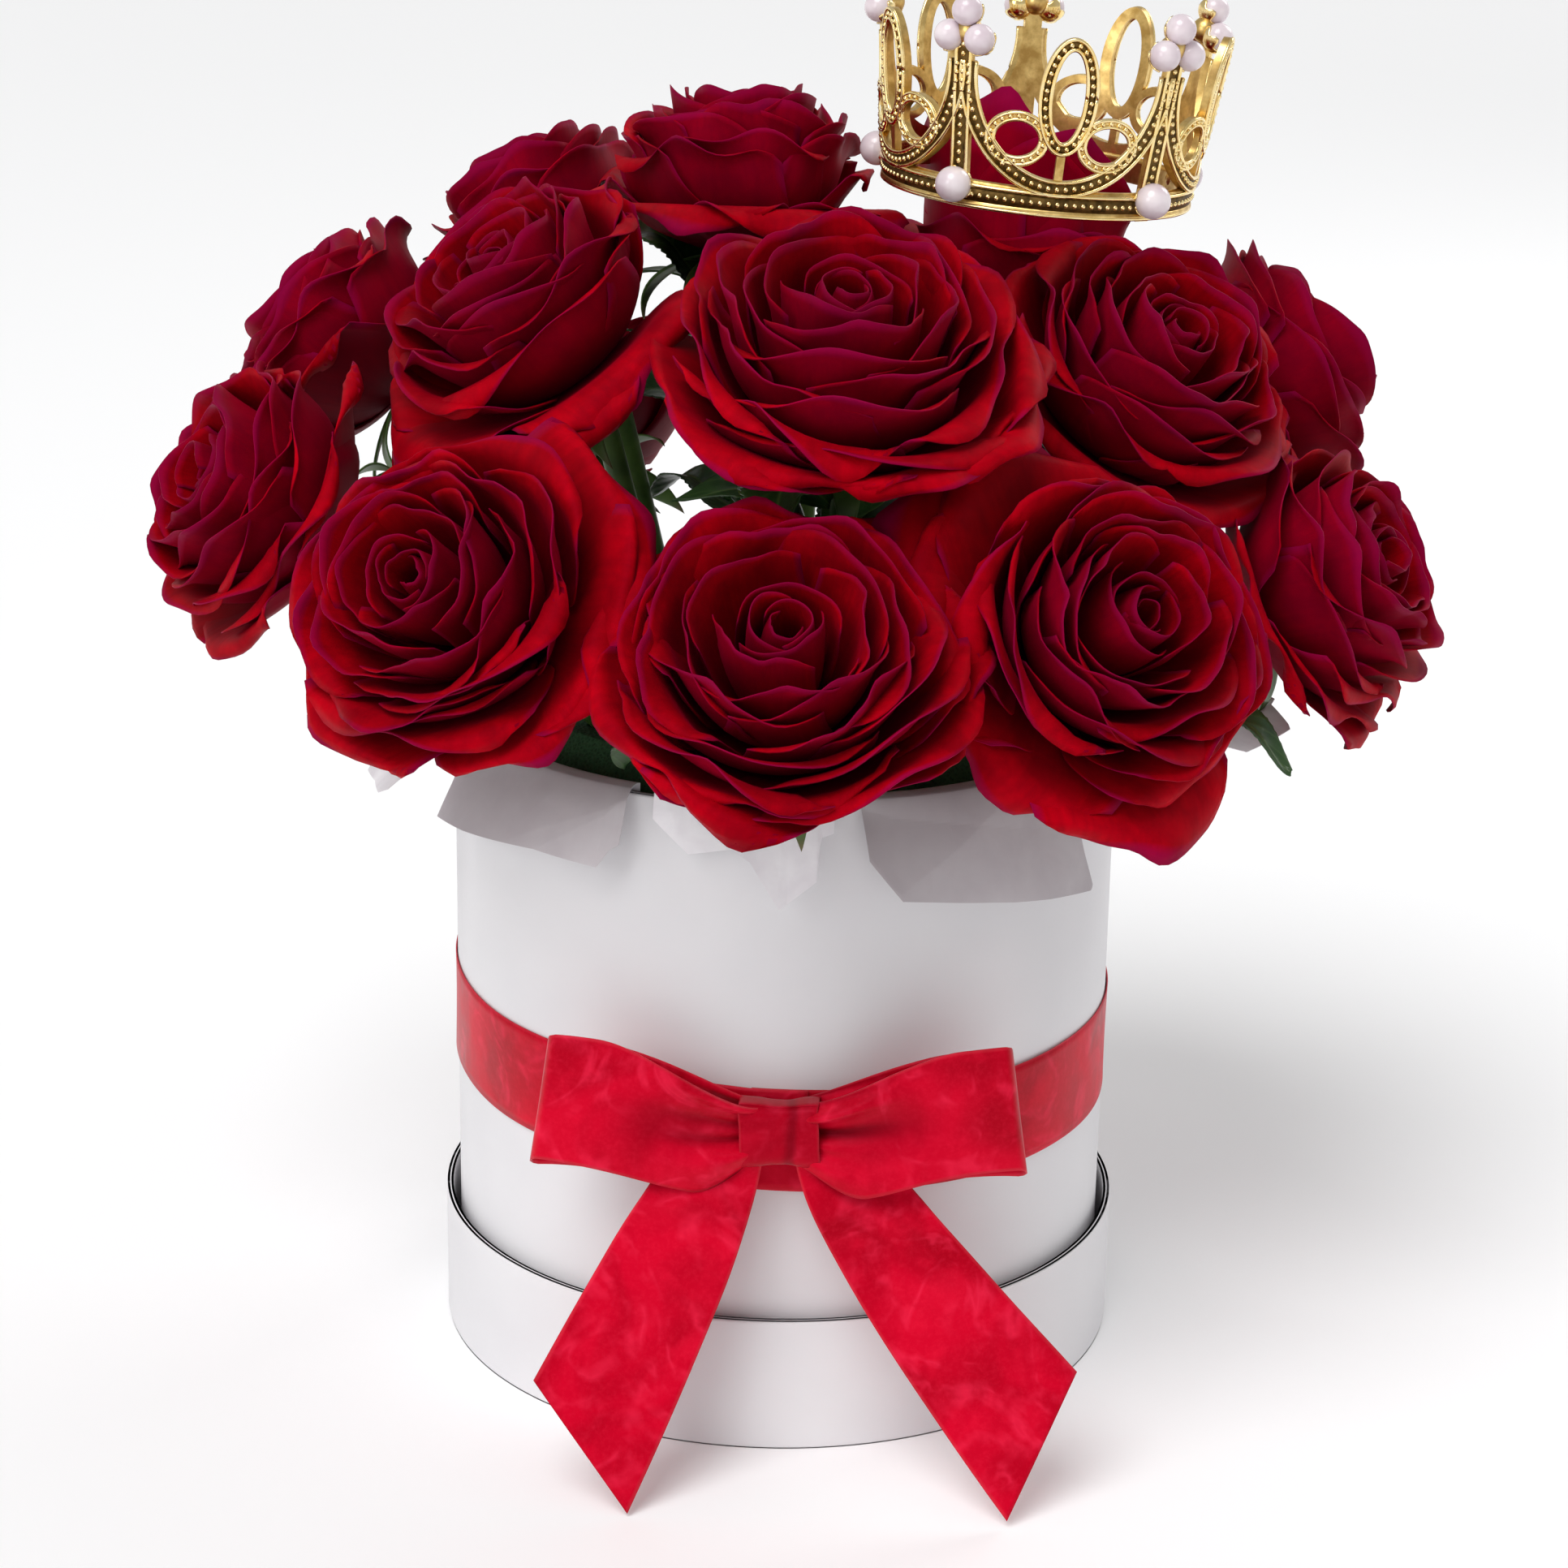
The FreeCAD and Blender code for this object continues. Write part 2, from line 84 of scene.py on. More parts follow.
class Finish:
    """One material: a Principled shader and the nodes that vary its look over a surface."""

    def __init__(self, name, **constants):
        self.material = bpy.data.materials.new(name)
        self.material.use_nodes = True
        self.nodes = self.material.node_tree.nodes
        self.links = self.material.node_tree.links
        self.principled = self.nodes["Principled BSDF"]
        for key, value in constants.items():
            self.principled.inputs[key.replace("_", " ")].default_value = value

    def node(self, kind, settings=None, inputs=None, output=0):
        """Adds any node: its settings first, then the values or links of its sockets."""
        made = self.nodes.new(kind)
        for key, value in (settings or {}).items():
            setattr(made, key, value)
        for key, value in (inputs or {}).items():
            if isinstance(value, Socket):
                self.links.new(value.socket, made.inputs[key])
            else:
                made.inputs[key].default_value = value
        return Socket(self, made.outputs[output])

    def place(self):
        """Object coordinates, in metres."""
        return self.node("ShaderNodeTexCoord", output="Object")

    def noise(self, scale, detail=3.0, roughness=0.5, distortion=0.0, vector=None):
        inputs = {"Vector": vector or self.place(), "Scale": scale, "Detail": detail,
                  "Roughness": roughness, "Distortion": distortion}
        return self.node("ShaderNodeTexNoise", None, inputs)

    def spread(self, value, low, high, to_low=0.0, to_high=1.0):
        """Maps a value's low..high to to_low..to_high, and holds it there beyond."""
        inputs = {"Value": value, "From Min": low, "From Max": high, "To Min": to_low, "To Max": to_high}
        return self.node("ShaderNodeMapRange", None, inputs)

    def mix(self, factor, first, second, blend="MIX"):
        settings = {"data_type": "RGBA", "blend_type": blend}
        first = first if isinstance(first, Socket) else (*first, 1.0)
        second = second if isinstance(second, Socket) else (*second, 1.0)
        return self.node("ShaderNodeMix", settings, {0: factor, 6: first, 7: second}, output=2)

    def tint(self, pattern, low, high, first, second, most=1.0):
        """Goes from the first colour to the second as the pattern rises from low to high."""
        return self.mix(self.spread(pattern, low, high, 0.0, most), first, second)

    def attribute(self, name):
        return self.node("ShaderNodeAttribute", {"attribute_name": name}, output="Fac")

    def feed(self, **inputs):
        for key, value in inputs.items():
            self.links.new(value.socket, self.principled.inputs[key.replace("_", " ")])

    def bump(self, height, strength, distance):
        inputs = {"Strength": strength, "Distance": distance, "Height": height}
        self.feed(Normal=self.node("ShaderNodeBump", None, inputs))

    def cover(self, node):
        """Gives this finish to a CAD node."""
        for slot in frame["nodes"][node].material_slots:
            slot.material = self.material


def mesh_piece(name, points, faces, finish, smooth=True, weld=False, **attributes):
    """A new piece from arrays of points and faces, with one value a point for each attribute."""
    mesh = bpy.data.meshes.new(name)
    faces = np.asarray(faces, np.int32)
    points = np.asarray(points, np.float32).reshape(-1, 3)
    mesh.vertices.add(len(points))
    mesh.vertices.foreach_set("co", points.ravel())
    mesh.loops.add(faces.size)
    mesh.loops.foreach_set("vertex_index", faces.ravel())
    mesh.polygons.add(len(faces))
    corners = faces.shape[1]
    mesh.polygons.foreach_set("loop_start", np.arange(0, faces.size, corners, dtype=np.int32))
    mesh.polygons.foreach_set("loop_total", np.full(len(faces), corners, np.int32))
    mesh.update(calc_edges=True)
    for key, values in attributes.items():
        layer = mesh.attributes.new(key, "FLOAT", "POINT")
        layer.data.foreach_set("value", np.asarray(values, np.float32).ravel())
    if weld:
        work = bmesh.new()
        work.from_mesh(mesh)
        bmesh.ops.remove_doubles(work, verts=work.verts, dist=1e-7)
        bmesh.ops.dissolve_degenerate(work, edges=work.edges, dist=1e-8)
        work.to_mesh(mesh)
        work.free()
    mesh.polygons.foreach_set("use_smooth", np.full(len(mesh.polygons), smooth, bool))
    mesh.materials.append(finish.material)
    piece = bpy.data.objects.new(name, mesh)
    bpy.context.scene.collection.objects.link(piece)
    return piece


def grid_faces(rows, columns, wrap_rows=False, wrap_columns=False):
    """Faces of a grid of points; a wrapped grid is closed from its last row or column to its first."""
    index = np.arange(rows * columns).reshape(rows, columns)
    if wrap_columns:
        index = np.hstack([index, index[:, :1]])
    if wrap_rows:
        index = np.vstack([index, index[:1]])
    return np.stack([index[:-1, :-1], index[:-1, 1:], index[1:, 1:], index[1:, :-1]], -1).reshape(-1, 4)


def smooth_step(value, low, high):
    """0 below low, 1 above high, and a smooth ramp between."""
    t = np.clip((value - low) / (high - low), 0.0, 1.0)
    return t * t * (3.0 - 2.0 * t)


def between(first, second, share):
    """The first value at a share of 0 and the second at 1, in a straight line."""
    return first + (second - first) * share


def unit(vector):
    """The vector over its own length."""
    return vector / np.linalg.norm(vector, axis=-1, keepdims=True)


def node_points(node):
    """The points of a CAD node, in metres."""
    mesh = frame["nodes"][node].data
    points = np.zeros(len(mesh.vertices) * 3, np.float32)
    mesh.vertices.foreach_get("co", points)
    return points.reshape(-1, 3).astype(float)


def body_of_node(node):
    """The body that a CAD node rides on."""
    return next(body for body, nodes in frame["record"]["behaviour"]["bodies"].items() if node in nodes)


def stand_for(piece, node):
    """The piece takes the CAD node's place and body, and the node is hidden."""
    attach(piece, body_of_node(node))
    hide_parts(node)


white_table = Finish("white_table", Base_Color=(0.95, 0.95, 0.955, 1.0), Roughness=0.8)
white_table.bump(white_table.noise(160.0), 0.02, 0.001)
table_half = 30.0
table_corners = [(x * table_half, y * table_half, 0.0) for x, y in ((-1, -1), (1, -1), (1, 1), (-1, 1))]
table = mesh_piece("table", table_corners, [[0, 1, 2, 3]], white_table, smooth=False)

world = bpy.data.worlds.new("studio")
bpy.context.scene.world = world
world.use_nodes = True
surround = world.node_tree.nodes["Background"]
ramp = world.node_tree.nodes.new("ShaderNodeValToRGB")
bright_low, grey_above = ramp.color_ramp.elements
bright_low.position, bright_low.color = 0.10, (0.95, 0.95, 0.955, 1.0)
grey_above.position, grey_above.color = 0.22, (0.47, 0.47, 0.47, 1.0)
direction = world.node_tree.nodes.new("ShaderNodeTexCoord")
split = world.node_tree.nodes.new("ShaderNodeSeparateXYZ")
world.node_tree.links.new(direction.outputs["Generated"], split.inputs["Vector"])
world.node_tree.links.new(split.outputs["Z"], ramp.inputs["Fac"])
world.node_tree.links.new(ramp.outputs["Color"], surround.inputs["Color"])
surround.inputs["Strength"].default_value = 1.0
bpy.context.scene.view_settings.view_transform = "Standard"


def lamp_at(name, kind, place, target, power, **sizes):
    """A lamp at a place, turned to face a target."""
    lamp = bpy.data.lights.new(name, kind)
    lamp.energy = power
    for key, value in sizes.items():
        setattr(lamp, key, value)
    holder = bpy.data.objects.new(name, lamp)
    bpy.context.scene.collection.objects.link(holder)
    back = unit(np.subtract(place, target))
    right = unit(np.cross((0.0, 0.0, 1.0), back))
    turn = Matrix(np.array([right, np.cross(back, right), back]).T.tolist()).to_4x4()
    holder.matrix_world = Matrix.Translation(place) @ turn


lit_middle = (0.0, 0.0, 0.15)
lamp_at("overhead", "SUN", (-0.35, -0.6, 1.25), lit_middle, 1.75, angle=math.radians(38))
lamp_at("right_back", "AREA", (1.0, 0.9, 1.0), lit_middle, 5.0, size=0.7)
lamp_at("left_front", "AREA", (-0.9, -1.1, 0.8), lit_middle, 3.5, size=0.6)

# ---- Camera ----
# A portrait lens a little above the flowers, aimed at the middle of the arrangement and turned a
# little about its own axis.
camera_distance = 0.9
camera_rise = math.radians(18.52)
camera_roll = math.radians(0.94)
aim = np.array([-0.0002, 0.0, 0.1365])
back = np.array([0.0, -math.cos(camera_rise), math.sin(camera_rise)])
right = np.array([1.0, 0.0, 0.0])
up = np.cross(back, right)
rolled_right = right * math.cos(camera_roll) + up * math.sin(camera_roll)
rolled_up = up * math.cos(camera_roll) - right * math.sin(camera_roll)
lens = bpy.data.cameras.new("camera")
lens.sensor_width, lens.lens = 36.0, 84.6
camera = bpy.data.objects.new("camera", lens)
bpy.context.scene.collection.objects.link(camera)
turn = Matrix(np.array([rolled_right, rolled_up, back]).T.tolist()).to_4x4()
camera.matrix_world = Matrix.Translation((aim + back * camera_distance).tolist()) @ turn
bpy.context.scene.camera = camera

# ---- Lid and box ----
# Two card tubes wrapped in matt white paper, each glued round a card disc. The wrap laps over
# itself at the back and folds over the rim, so that its edges are soft.
paper = Finish("white_paper", Roughness=0.58, Specular_IOR_Level=0.35)
fibres = paper.noise(900.0, 4.0, 0.6)
clouds = paper.noise(22.0, 2.0, 0.5)
paper.feed(Base_Color=paper.tint(clouds, 0.3, 0.7, (0.70, 0.69, 0.71), (0.76, 0.75, 0.765)),
           Roughness=paper.spread(fibres, 0.3, 0.7, 0.5, 0.66))
paper.bump(fibres * 0.35 + clouds, 0.05, 0.0008)


def rounded(corners, radii, steps=7):
    """A closed outline with a quarter circle at each right-angled corner, and extra points on its sides."""
    corners = np.array(corners)
    angle = np.linspace(0.0, math.pi / 2, steps)[:, None]
    share = np.linspace(0.08, 0.92, steps)[:, None]
    outline = []
    neighbours = zip(corners, np.roll(corners, 1, 0), np.roll(corners, -1, 0), radii)
    for corner, previous, following, radius in neighbours:
        before, after = unit(previous - corner), unit(following - corner)
        middle = corner + (before + after) * radius
        outline.append(middle - after * radius * np.cos(angle) - before * radius * np.sin(angle))
        outline.append(corner + (following - corner) * share)
    return np.concatenate(outline)


def wrapped_tube(name, inner, outer, low, high, radii, segments=288):
    """
    A turned tube: the rounded outline is carried round the axis. The outside is a paper's thickness
    further out over the lap at the back, and the tube is a hair out of round.
    """
    outline = rounded([(inner, low), (outer, low), (outer, high), (inner, high)], radii)
    angle = np.linspace(0.0, 2 * math.pi, segments, endpoint=False)[None, :]
    radius, height = outline[:, :1], outline[:, 1:]
    lap_from, lap_wide, paper_thick = math.radians(82), math.radians(11), 0.00022
    lap_edge, lap_fade = 0.006, 0.03
    past = np.mod(angle - lap_from, 2 * math.pi)
    lap = smooth_step(past, 0.0, lap_edge) * (1.0 - smooth_step(past, lap_wide, lap_wide + lap_fade))
    outside = smooth_step(radius, (inner + outer) / 2, outer)
    sway = 0.00012 * np.sin(2 * angle + 0.6) + 0.00006 * np.sin(5 * angle + 1.9)
    radius = radius + outside * lap * paper_thick + sway
    points = np.stack([radius * np.cos(angle), radius * np.sin(angle), height + 0.0 * angle], -1)
    return mesh_piece(name, points, grid_faces(len(outline), segments, True, True), paper)


hidden_edge, soft_share = 0.0003, 0.42
for tube, disc, soft in (("lid_wall", "lid_disc", 0.0008), ("box_wall", "box_base", 0.0007)):
    low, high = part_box(tube)
    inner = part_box(disc)[1].x
    soft = min(soft, (high.x - inner) * soft_share)
    piece = wrapped_tube(tube + "_wrapped", inner, high.x, low.z, high.z, [hidden_edge, soft, soft, soft])
    stand_for(piece, tube)
    paper.cover(disc)
box_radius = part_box("box_wall")[1].x

# ---- Liner and foam ----
# A thin plastic cup keeps the wet foam off the card. The foam is a dense green block with fine
# open cells, its top edge cut on a bevel, and each stem is pushed into its own hole.
plastic = Finish("liner_plastic", Base_Color=(0.62, 0.66, 0.66, 1.0), Roughness=0.22, Coat_Weight=0.3)
plastic.bump(plastic.noise(60.0), 0.1, 0.0006)
plastic.cover("foam_liner")

wet_foam = Finish("wet_foam", Roughness=0.85, Specular_IOR_Level=0.3)
cells = wet_foam.node("ShaderNodeTexVoronoi", None, {"Vector": wet_foam.place(), "Scale": 1100.0})
damp = wet_foam.noise(45.0, 3.0, 0.55)
foam_colour = wet_foam.tint(damp, 0.35, 0.65, (0.018, 0.065, 0.026), (0.045, 0.13, 0.05))
# Painted shade: the middles of the open cells are darkened, as the shade in their pits.
foam_colour = wet_foam.mix(wet_foam.spread(cells, 0.1, 0.5, 0.6, 0.0), foam_colour, (0.01, 0.03, 0.012))
wet_foam.feed(Base_Color=foam_colour)
wet_foam.bump(cells + damp * 0.8, 0.5, 0.0006)
wet_foam.cover("floral_foam")

# ---- Ribbon round the box ----
# One length of red satin ribbon drawn flat round the box, its ends lapped behind the bow. It sits
# a little higher at the back and on the left.
satin = Finish("red_satin", Specular_IOR_Level=0.24, Specular_Tint=(1.0, 0.10, 0.22, 1.0))
edge = satin.attribute("edge")
run = satin.attribute("run")
across = satin.attribute("across")
watered_and_sheen = satin.noise(48.0, 2.0, 0.5, 0.7)
crumple_and_highlight = satin.noise(150.0, 2.0, 0.5, 0.4)
thread_and_glint = satin.noise(900.0, 3.0, 0.7)
ridges = satin.node("ShaderNodeTexWave", {"wave_type": "BANDS", "bands_direction": "X"}, {
    "Vector": satin.node("ShaderNodeCombineXYZ", None, {"X": run, "Y": across}), "Scale": 1100.0})
painted_fold_shade = satin.attribute("painted_fold_shade")
stream = satin.noise(40.0, 3.0, 0.55, 1.4)
light_lines = satin.spread((stream - 0.5).math("ABSOLUTE"), 0.0, 0.06, 1.0, 0.0)
painted_highlight_lines = light_lines * satin.spread(crumple_and_highlight, 0.40, 0.60)
# Painted light in the satin's colour: where the broad ripple noise rises, the red is lifted as painted sheen. The
# crumples' crests are lightened as painted highlights, thin pale streaks over them are painted highlight lines,
# and fine specks are lightened as painted glints.
satin_colour = satin.tint(watered_and_sheen, 0.32, 0.64, (0.36, 0.0002, 0.008), (0.58, 0.0008, 0.018))
satin_colour = satin.tint(crumple_and_highlight, 0.50, 0.78, satin_colour, (0.80, 0.008, 0.04), 0.30)
satin_colour = satin.mix(painted_highlight_lines * 0.34, satin_colour, (0.86, 0.028, 0.085))
satin_colour = satin.tint(thread_and_glint, 0.45, 0.75, satin_colour, (0.82, 0.02, 0.06), 0.16)
satin_colour = satin.tint(edge, 0.94, 1.0, satin_colour, (0.78, 0.06, 0.09), 0.35)
# Painted shade: the fold shade values darken the satin nearly to black in its gathers, in the dip across each
# loop's front and over the knot.
satin_colour = satin.mix(painted_fold_shade, satin_colour, (0.10, 0.0, 0.002))
satin.feed(Base_Color=satin_colour, Roughness=satin.spread(watered_and_sheen, 0.3, 0.7, 0.32, 0.46))
satin.bump(watered_and_sheen * 0.8 + crumple_and_highlight * 0.2 + thread_and_glint * 0.02 + ridges * 0.005, 0.22, 0.0016)


def thin_shell(front, thick):
    """
    A closed thin sheet from a batch of grids (sheet, row, column, xyz): each point moves half the
    thickness each way along the surface's normal, and a rim joins the two sides.
    Returns the points and the faces.
    """
    count, rows, columns = front.shape[:3]
    along = np.gradient(front, axis=1)
    over = np.gradient(front, axis=2)
    normal = np.cross(over, along)
    normal = normal / np.maximum(np.linalg.norm(normal, axis=-1, keepdims=True), 1e-12)
    move = normal * np.asarray(thick)[..., None] / 2
    points = np.stack([front - move, front + move], 1).reshape(-1, 3)
    index = np.arange(2 * rows * columns).reshape(2, rows, columns)
    side = grid_faces(rows, columns)
    ring = [np.concatenate([g[0, :-1], g[:-1, -1], g[-1, :0:-1], g[:0:-1, 0]]) for g in index]
    rim = np.stack([ring[0], ring[1], np.roll(ring[1], -1), np.roll(ring[0], -1)], -1)
    one = np.concatenate([side[:, ::-1], side + rows * columns, rim[:, ::-1]])
    shift = np.arange(count)[:, None, None] * 2 * rows * columns
    return points, (one[None] + shift).reshape(-1, 4)


def both_sides(value, shape):
    """One value a grid point, repeated for a shell's two sides."""
    return np.broadcast_to(np.asarray(value)[:, None], (shape[0], 2, *shape[1:3])).ravel()


def lengths(grid):
    """The length of each line of points down a grid: its steps added up."""
    return np.linalg.norm(np.diff(grid, axis=0), axis=-1).sum(0)


ribbon_thick = 0.0003


def ribbon_piece(name, front, width_place, length_place, painted_shade=0.0):
    """A satin strip from a grid whose rows run along the ribbon and whose columns run across it."""
    points, faces = thin_shell(front[None], ribbon_thick)
    # The last argument is painted shade: it darkens the satin's colour in its folds.
    places = {"edge": np.abs(width_place), "run": length_place, "across": width_place, "painted_fold_shade": painted_shade}
    places = {key: both_sides(np.broadcast_to(value, front.shape[:2])[None], (1, *front.shape[:2]))
              for key, value in places.items()}
    return mesh_piece(name, points, faces, satin, **places)


band_points = node_points("ribbon_band")
tilt = np.linalg.lstsq(np.c_[band_points[:, :2], np.ones(len(band_points))], band_points[:, 2], rcond=None)[0]
band_wide, band_lap, band_clear = 0.025, 0.16, 0.0003
behind_bow = 1.5 * math.pi
turn_to = np.linspace(-math.pi / 2 - band_lap / 2, behind_bow + band_lap / 2, 361)[:, None]
place_across = np.linspace(-1.0, 1.0, 13)[None, :]
in_lap = smooth_step(turn_to, behind_bow - band_lap, behind_bow - band_lap / 3)
slack = 0.00012 * (1.0 + np.sin(turn_to * 7.0 + 1.3 * place_across)) + 0.00010 * place_across ** 2
band_radius = box_radius + band_clear + slack + in_lap * 1.6 * ribbon_thick
band_x = band_radius * np.cos(turn_to)
band_y = band_radius * np.sin(turn_to)
band_z = tilt[0] * band_x + tilt[1] * band_y + tilt[2] + place_across * band_wide / 2
band_z = band_z + 0.00035 * np.sin(3.0 * turn_to + 0.8) + 0.0002 * np.sin(8.0 * turn_to)
band_grid = np.stack([band_x, band_y, band_z], -1)
band = ribbon_piece("ribbon_band_satin", band_grid, place_across, turn_to * box_radius)
stand_for(band, "ribbon_band")

# ---- Bow ----
# A flat bow of the same satin, in a wider ribbon than the band: two square-ended loops gathered at
# the middle, a short length wrapped round the gathers, and two tails that lean out over the lid, cut
# on the slant.
knot_low, knot_high = (np.array(corner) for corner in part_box("bow_knot"))
knot_at = (knot_low + knot_high) / 2
knot_half = (knot_high - knot_low) / 2
strip_wide = 0.031


def fold_between(value, count, seed):
    """Soft gathers across a strip: three sines of rising pitch and falling height, with seeded phases."""
    phase = np.random.default_rng(seed).uniform(0, 2 * math.pi, 3)
    sines = ((1.0, 1.0), (0.55, 1.7), (0.3, 2.9))
    return sum(tall * np.sin(value * count * pitch * math.pi + k) for (tall, pitch), k in zip(sines, phase))


def bow_sheet(piece, node, long, kept):
    """Puts the piece in the CAD node's place; the share of the ribbon's rectangle that its slant cut or gathers
    leave is worked out, but not kept.
    """
    stand_for(piece, node)
    round(strip_wide * long * kept, 6)


def loop_grid(node, side):
    """
    A loop's strip: its middle line leaves the knot, swells forward, turns sharply back at the outer
    end and returns behind. Near the knot it narrows and its folds deepen. The end edge leans in at
    the top, and the back layer hangs a little lower than the front one.
    """
    low, high = (np.array(corner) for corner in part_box(node))
    start_x, end_round = 0.0035, 0.0016
    span = side * (high[0] if side > 0 else low[0]) - end_round - start_x
    front_part, turn_part = 0.485, 0.03
    share = np.linspace(0.0, 1.0, 141)[:, None]
    t = np.linspace(-1.0, 1.0, 31)[None, :]
    out = smooth_step(share, 0.0, front_part) * 0.35 + np.clip(share / front_part, 0, 1) * 0.65
    home = np.clip((share - front_part - turn_part) / (1 - front_part - turn_part), 0.0, 1.0)
    round_end = np.clip((share - front_part) / turn_part, 0.0, 1.0) * math.pi
    x = start_x + span * (out - home) + end_round * np.sin(round_end)
    reach = (x - start_x) / span
    back = 0.5 - 0.5 * np.cos(round_end)
    front = 1.0 - back

    front_off, front_swell, back_off, back_swell = 0.0012, 0.0052, 0.0022, 0.0012
    arc = np.clip(reach, 0, 1) * math.pi
    y = between(knot_at[1] - front_off - front_swell * np.sin(arc * 0.80) ** 0.9,
                knot_at[1] + back_off + back_swell * np.sin(arc * 0.9), back)
    pinch = between(smooth_step(reach, -0.04, 0.36), smooth_step(reach, -0.10, 0.80), (t + 1.0) / 2.0)
    knot_share = 0.42
    half_wide = strip_wide / 2 * between(knot_share, 1.0, pinch) * (1.0 + 0.02 * np.sin(reach * 5.0))
    layer_apart, end_lean, edge_draw = 0.0022, 0.0022, 0.0008
    z = between(knot_at[2], (low[2] + high[2]) / 2, smooth_step(reach, 0.0, 1.0)) + t * half_wide
    z = z + (front - back) * layer_apart * smooth_step(reach, 0.1, 0.8)
    x = x - t * end_lean * smooth_step(reach, 0.5, 1.0) - np.abs(t) * edge_draw * np.sin(reach * math.pi)

    fold_deep, dip_deep, wave_deep, crown_deep = 0.0017, 0.0016, 0.0007, 0.0009
    gather = fold_between(t * 0.5 + 0.12 * reach, 3.1, 11 if side < 0 else 12)
    deep = (1.0 - smooth_step(reach, 0.0, 0.62)) * smooth_step(reach, -0.1, 0.12)
    dip = front * np.exp(-((reach - 0.42) / 0.22) ** 2 - ((t - 0.25 + 0.6 * reach) / 0.42) ** 2)
    # The shadow values are painted shade: the satin's colour is darkened in the deep gathers near the knot and in
    # the dip across the front layer.
    shadow = np.clip(smooth_step(gather, 0.1, 1.5) * deep * 1.1 + 0.42 * dip, 0.0, 0.9)
    wave = wave_deep * np.sin(reach * 6.0 + t * 1.6 + side) * smooth_step(reach, 0.2, 0.5)
    y = y + gather * fold_deep * deep * (1.0 - 0.4 * back) + dip_deep * dip
    y = y - front * (wave + crown_deep * (1.0 - t * t) * pinch)
    return np.stack([side * x, y, z], -1), t, share, shadow


for side, node in ((-1, "bow_loop_left"), (1, "bow_loop_right")):
    grid, t, share, shadow = loop_grid(node, side)
    grid, shadow = grid[:, ::side], shadow[:, ::side]
    long = float(lengths(grid[:, 15]))
    loop = ribbon_piece(node + "_satin", grid, t, share * long, shadow)
    bow_sheet(loop, node, long, 0.92)

# The wrapped middle: a length of the ribbon gathered to the knot's width, once round and lapped behind.
wrap_turn = np.linspace(math.pi * 0.5, math.pi * 2.62, 97)[:, None]
t = np.linspace(-1.0, 1.0, 27)[None, :]
squareness, fit, fold_deep = 0.5, 0.93, 0.00010
cosine, sine = np.cos(wrap_turn), np.sin(wrap_turn)
knot_y = np.sign(cosine) * np.abs(cosine) ** squareness
knot_z = np.sign(sine) * np.abs(sine) ** squareness
flare = 1.0 + 0.07 * t ** 2 - 0.02 * np.cos(t * 5.0)
lapped = 1.0 + 0.03 * smooth_step(wrap_turn, math.pi * 2.4, math.pi * 2.6)
knot_folds = fold_between(t * 0.5 + 0.05 * np.sin(wrap_turn * 2.0), 2.6, 27)
knot_grid = np.stack([
    knot_at[0] + knot_half[0] * t + 0.0004 * np.sin(wrap_turn * 2.0),
    knot_at[1] + (knot_half[1] * fit * flare + fold_deep * knot_folds) * knot_y * lapped,
    knot_at[2] + (knot_half[2] * fit * flare + fold_deep * knot_folds) * knot_z * lapped], -1)
# The knot's shadow values are painted shade: the whole knot is darkened a little, and more in its folds.
knot_shadow = 0.30 + 0.40 * smooth_step(-knot_folds, 0.2, 1.5)
knot = ribbon_piece("bow_knot_satin", knot_grid[:, ::-1], t, wrap_turn * 0.008, knot_shadow[:, ::-1])
bow_sheet(knot, "bow_knot", float(lengths(knot_grid[:, 13])), 0.78)

above_table = 0.0008


def tail_grid(node, side):
    """
    A tail's strip: down from under the knot with a rounded shoulder, then a nearly straight run
    forward to the table, as a quadratic curve between three lines across the ribbon. Its end is cut
    on the slant, so that the inner edge is longer. Broad low waves run across it.
    """
    points = node_points(node)
    s = np.linspace(0.0, 1.0, 111)[:, None]
    t = np.linspace(-1.0, 1.0, 29)[None, :]
    outward = ((t + 1.0) / 2.0)[..., None]
    depth, under = knot_at[1] - 0.0006, knot_low[2]
    top = between(np.array([side * 0.0036, depth, under + 0.003]),
                  np.array([side * 0.0250, depth, under + 0.001]), outward)
    shoulder = between(np.array([side * 0.0046, depth - 0.001, under - 0.017]),
                       np.array([side * 0.0325, depth - 0.001, under - 0.008]), outward)
    end = between(points[np.argmin(points[:, 2])], points[np.argmax(side * points[:, 0])], outward)
    first, second, third = (weight[..., None] for weight in ((1 - s) ** 2, 2 * s * (1 - s), s ** 2))
    grid = first * top + second * shoulder + third * end
    normal = np.cross(unit(np.gradient(grid, axis=0)), unit(np.gradient(grid, axis=1))) * side
    wave = 0.0011 * np.sin(s * 8.0 + t * 1.1 + side) + 0.0007 * np.sin(s * 17.0 - t * 1.7 + 2 * side)
    gathers = 0.0009 * fold_between(t * 0.5, 2.6, 31) * (1 - smooth_step(s, 0.0, 0.2))
    grid = grid + normal * (wave * smooth_step(s, 0.02, 0.25) + gathers)[..., None]
    grid[..., 2] = np.maximum(grid[..., 2], above_table)
    return grid[:, ::-side], t, s


for side, node in ((-1, "bow_tail_left"), (1, "bow_tail_right")):
    grid, t, s = tail_grid(node, side)
    long = float(lengths(grid).max())
    tail = ribbon_piece(node + "_satin", grid, t, s * long)
    bow_sheet(tail, node, long, 0.86)

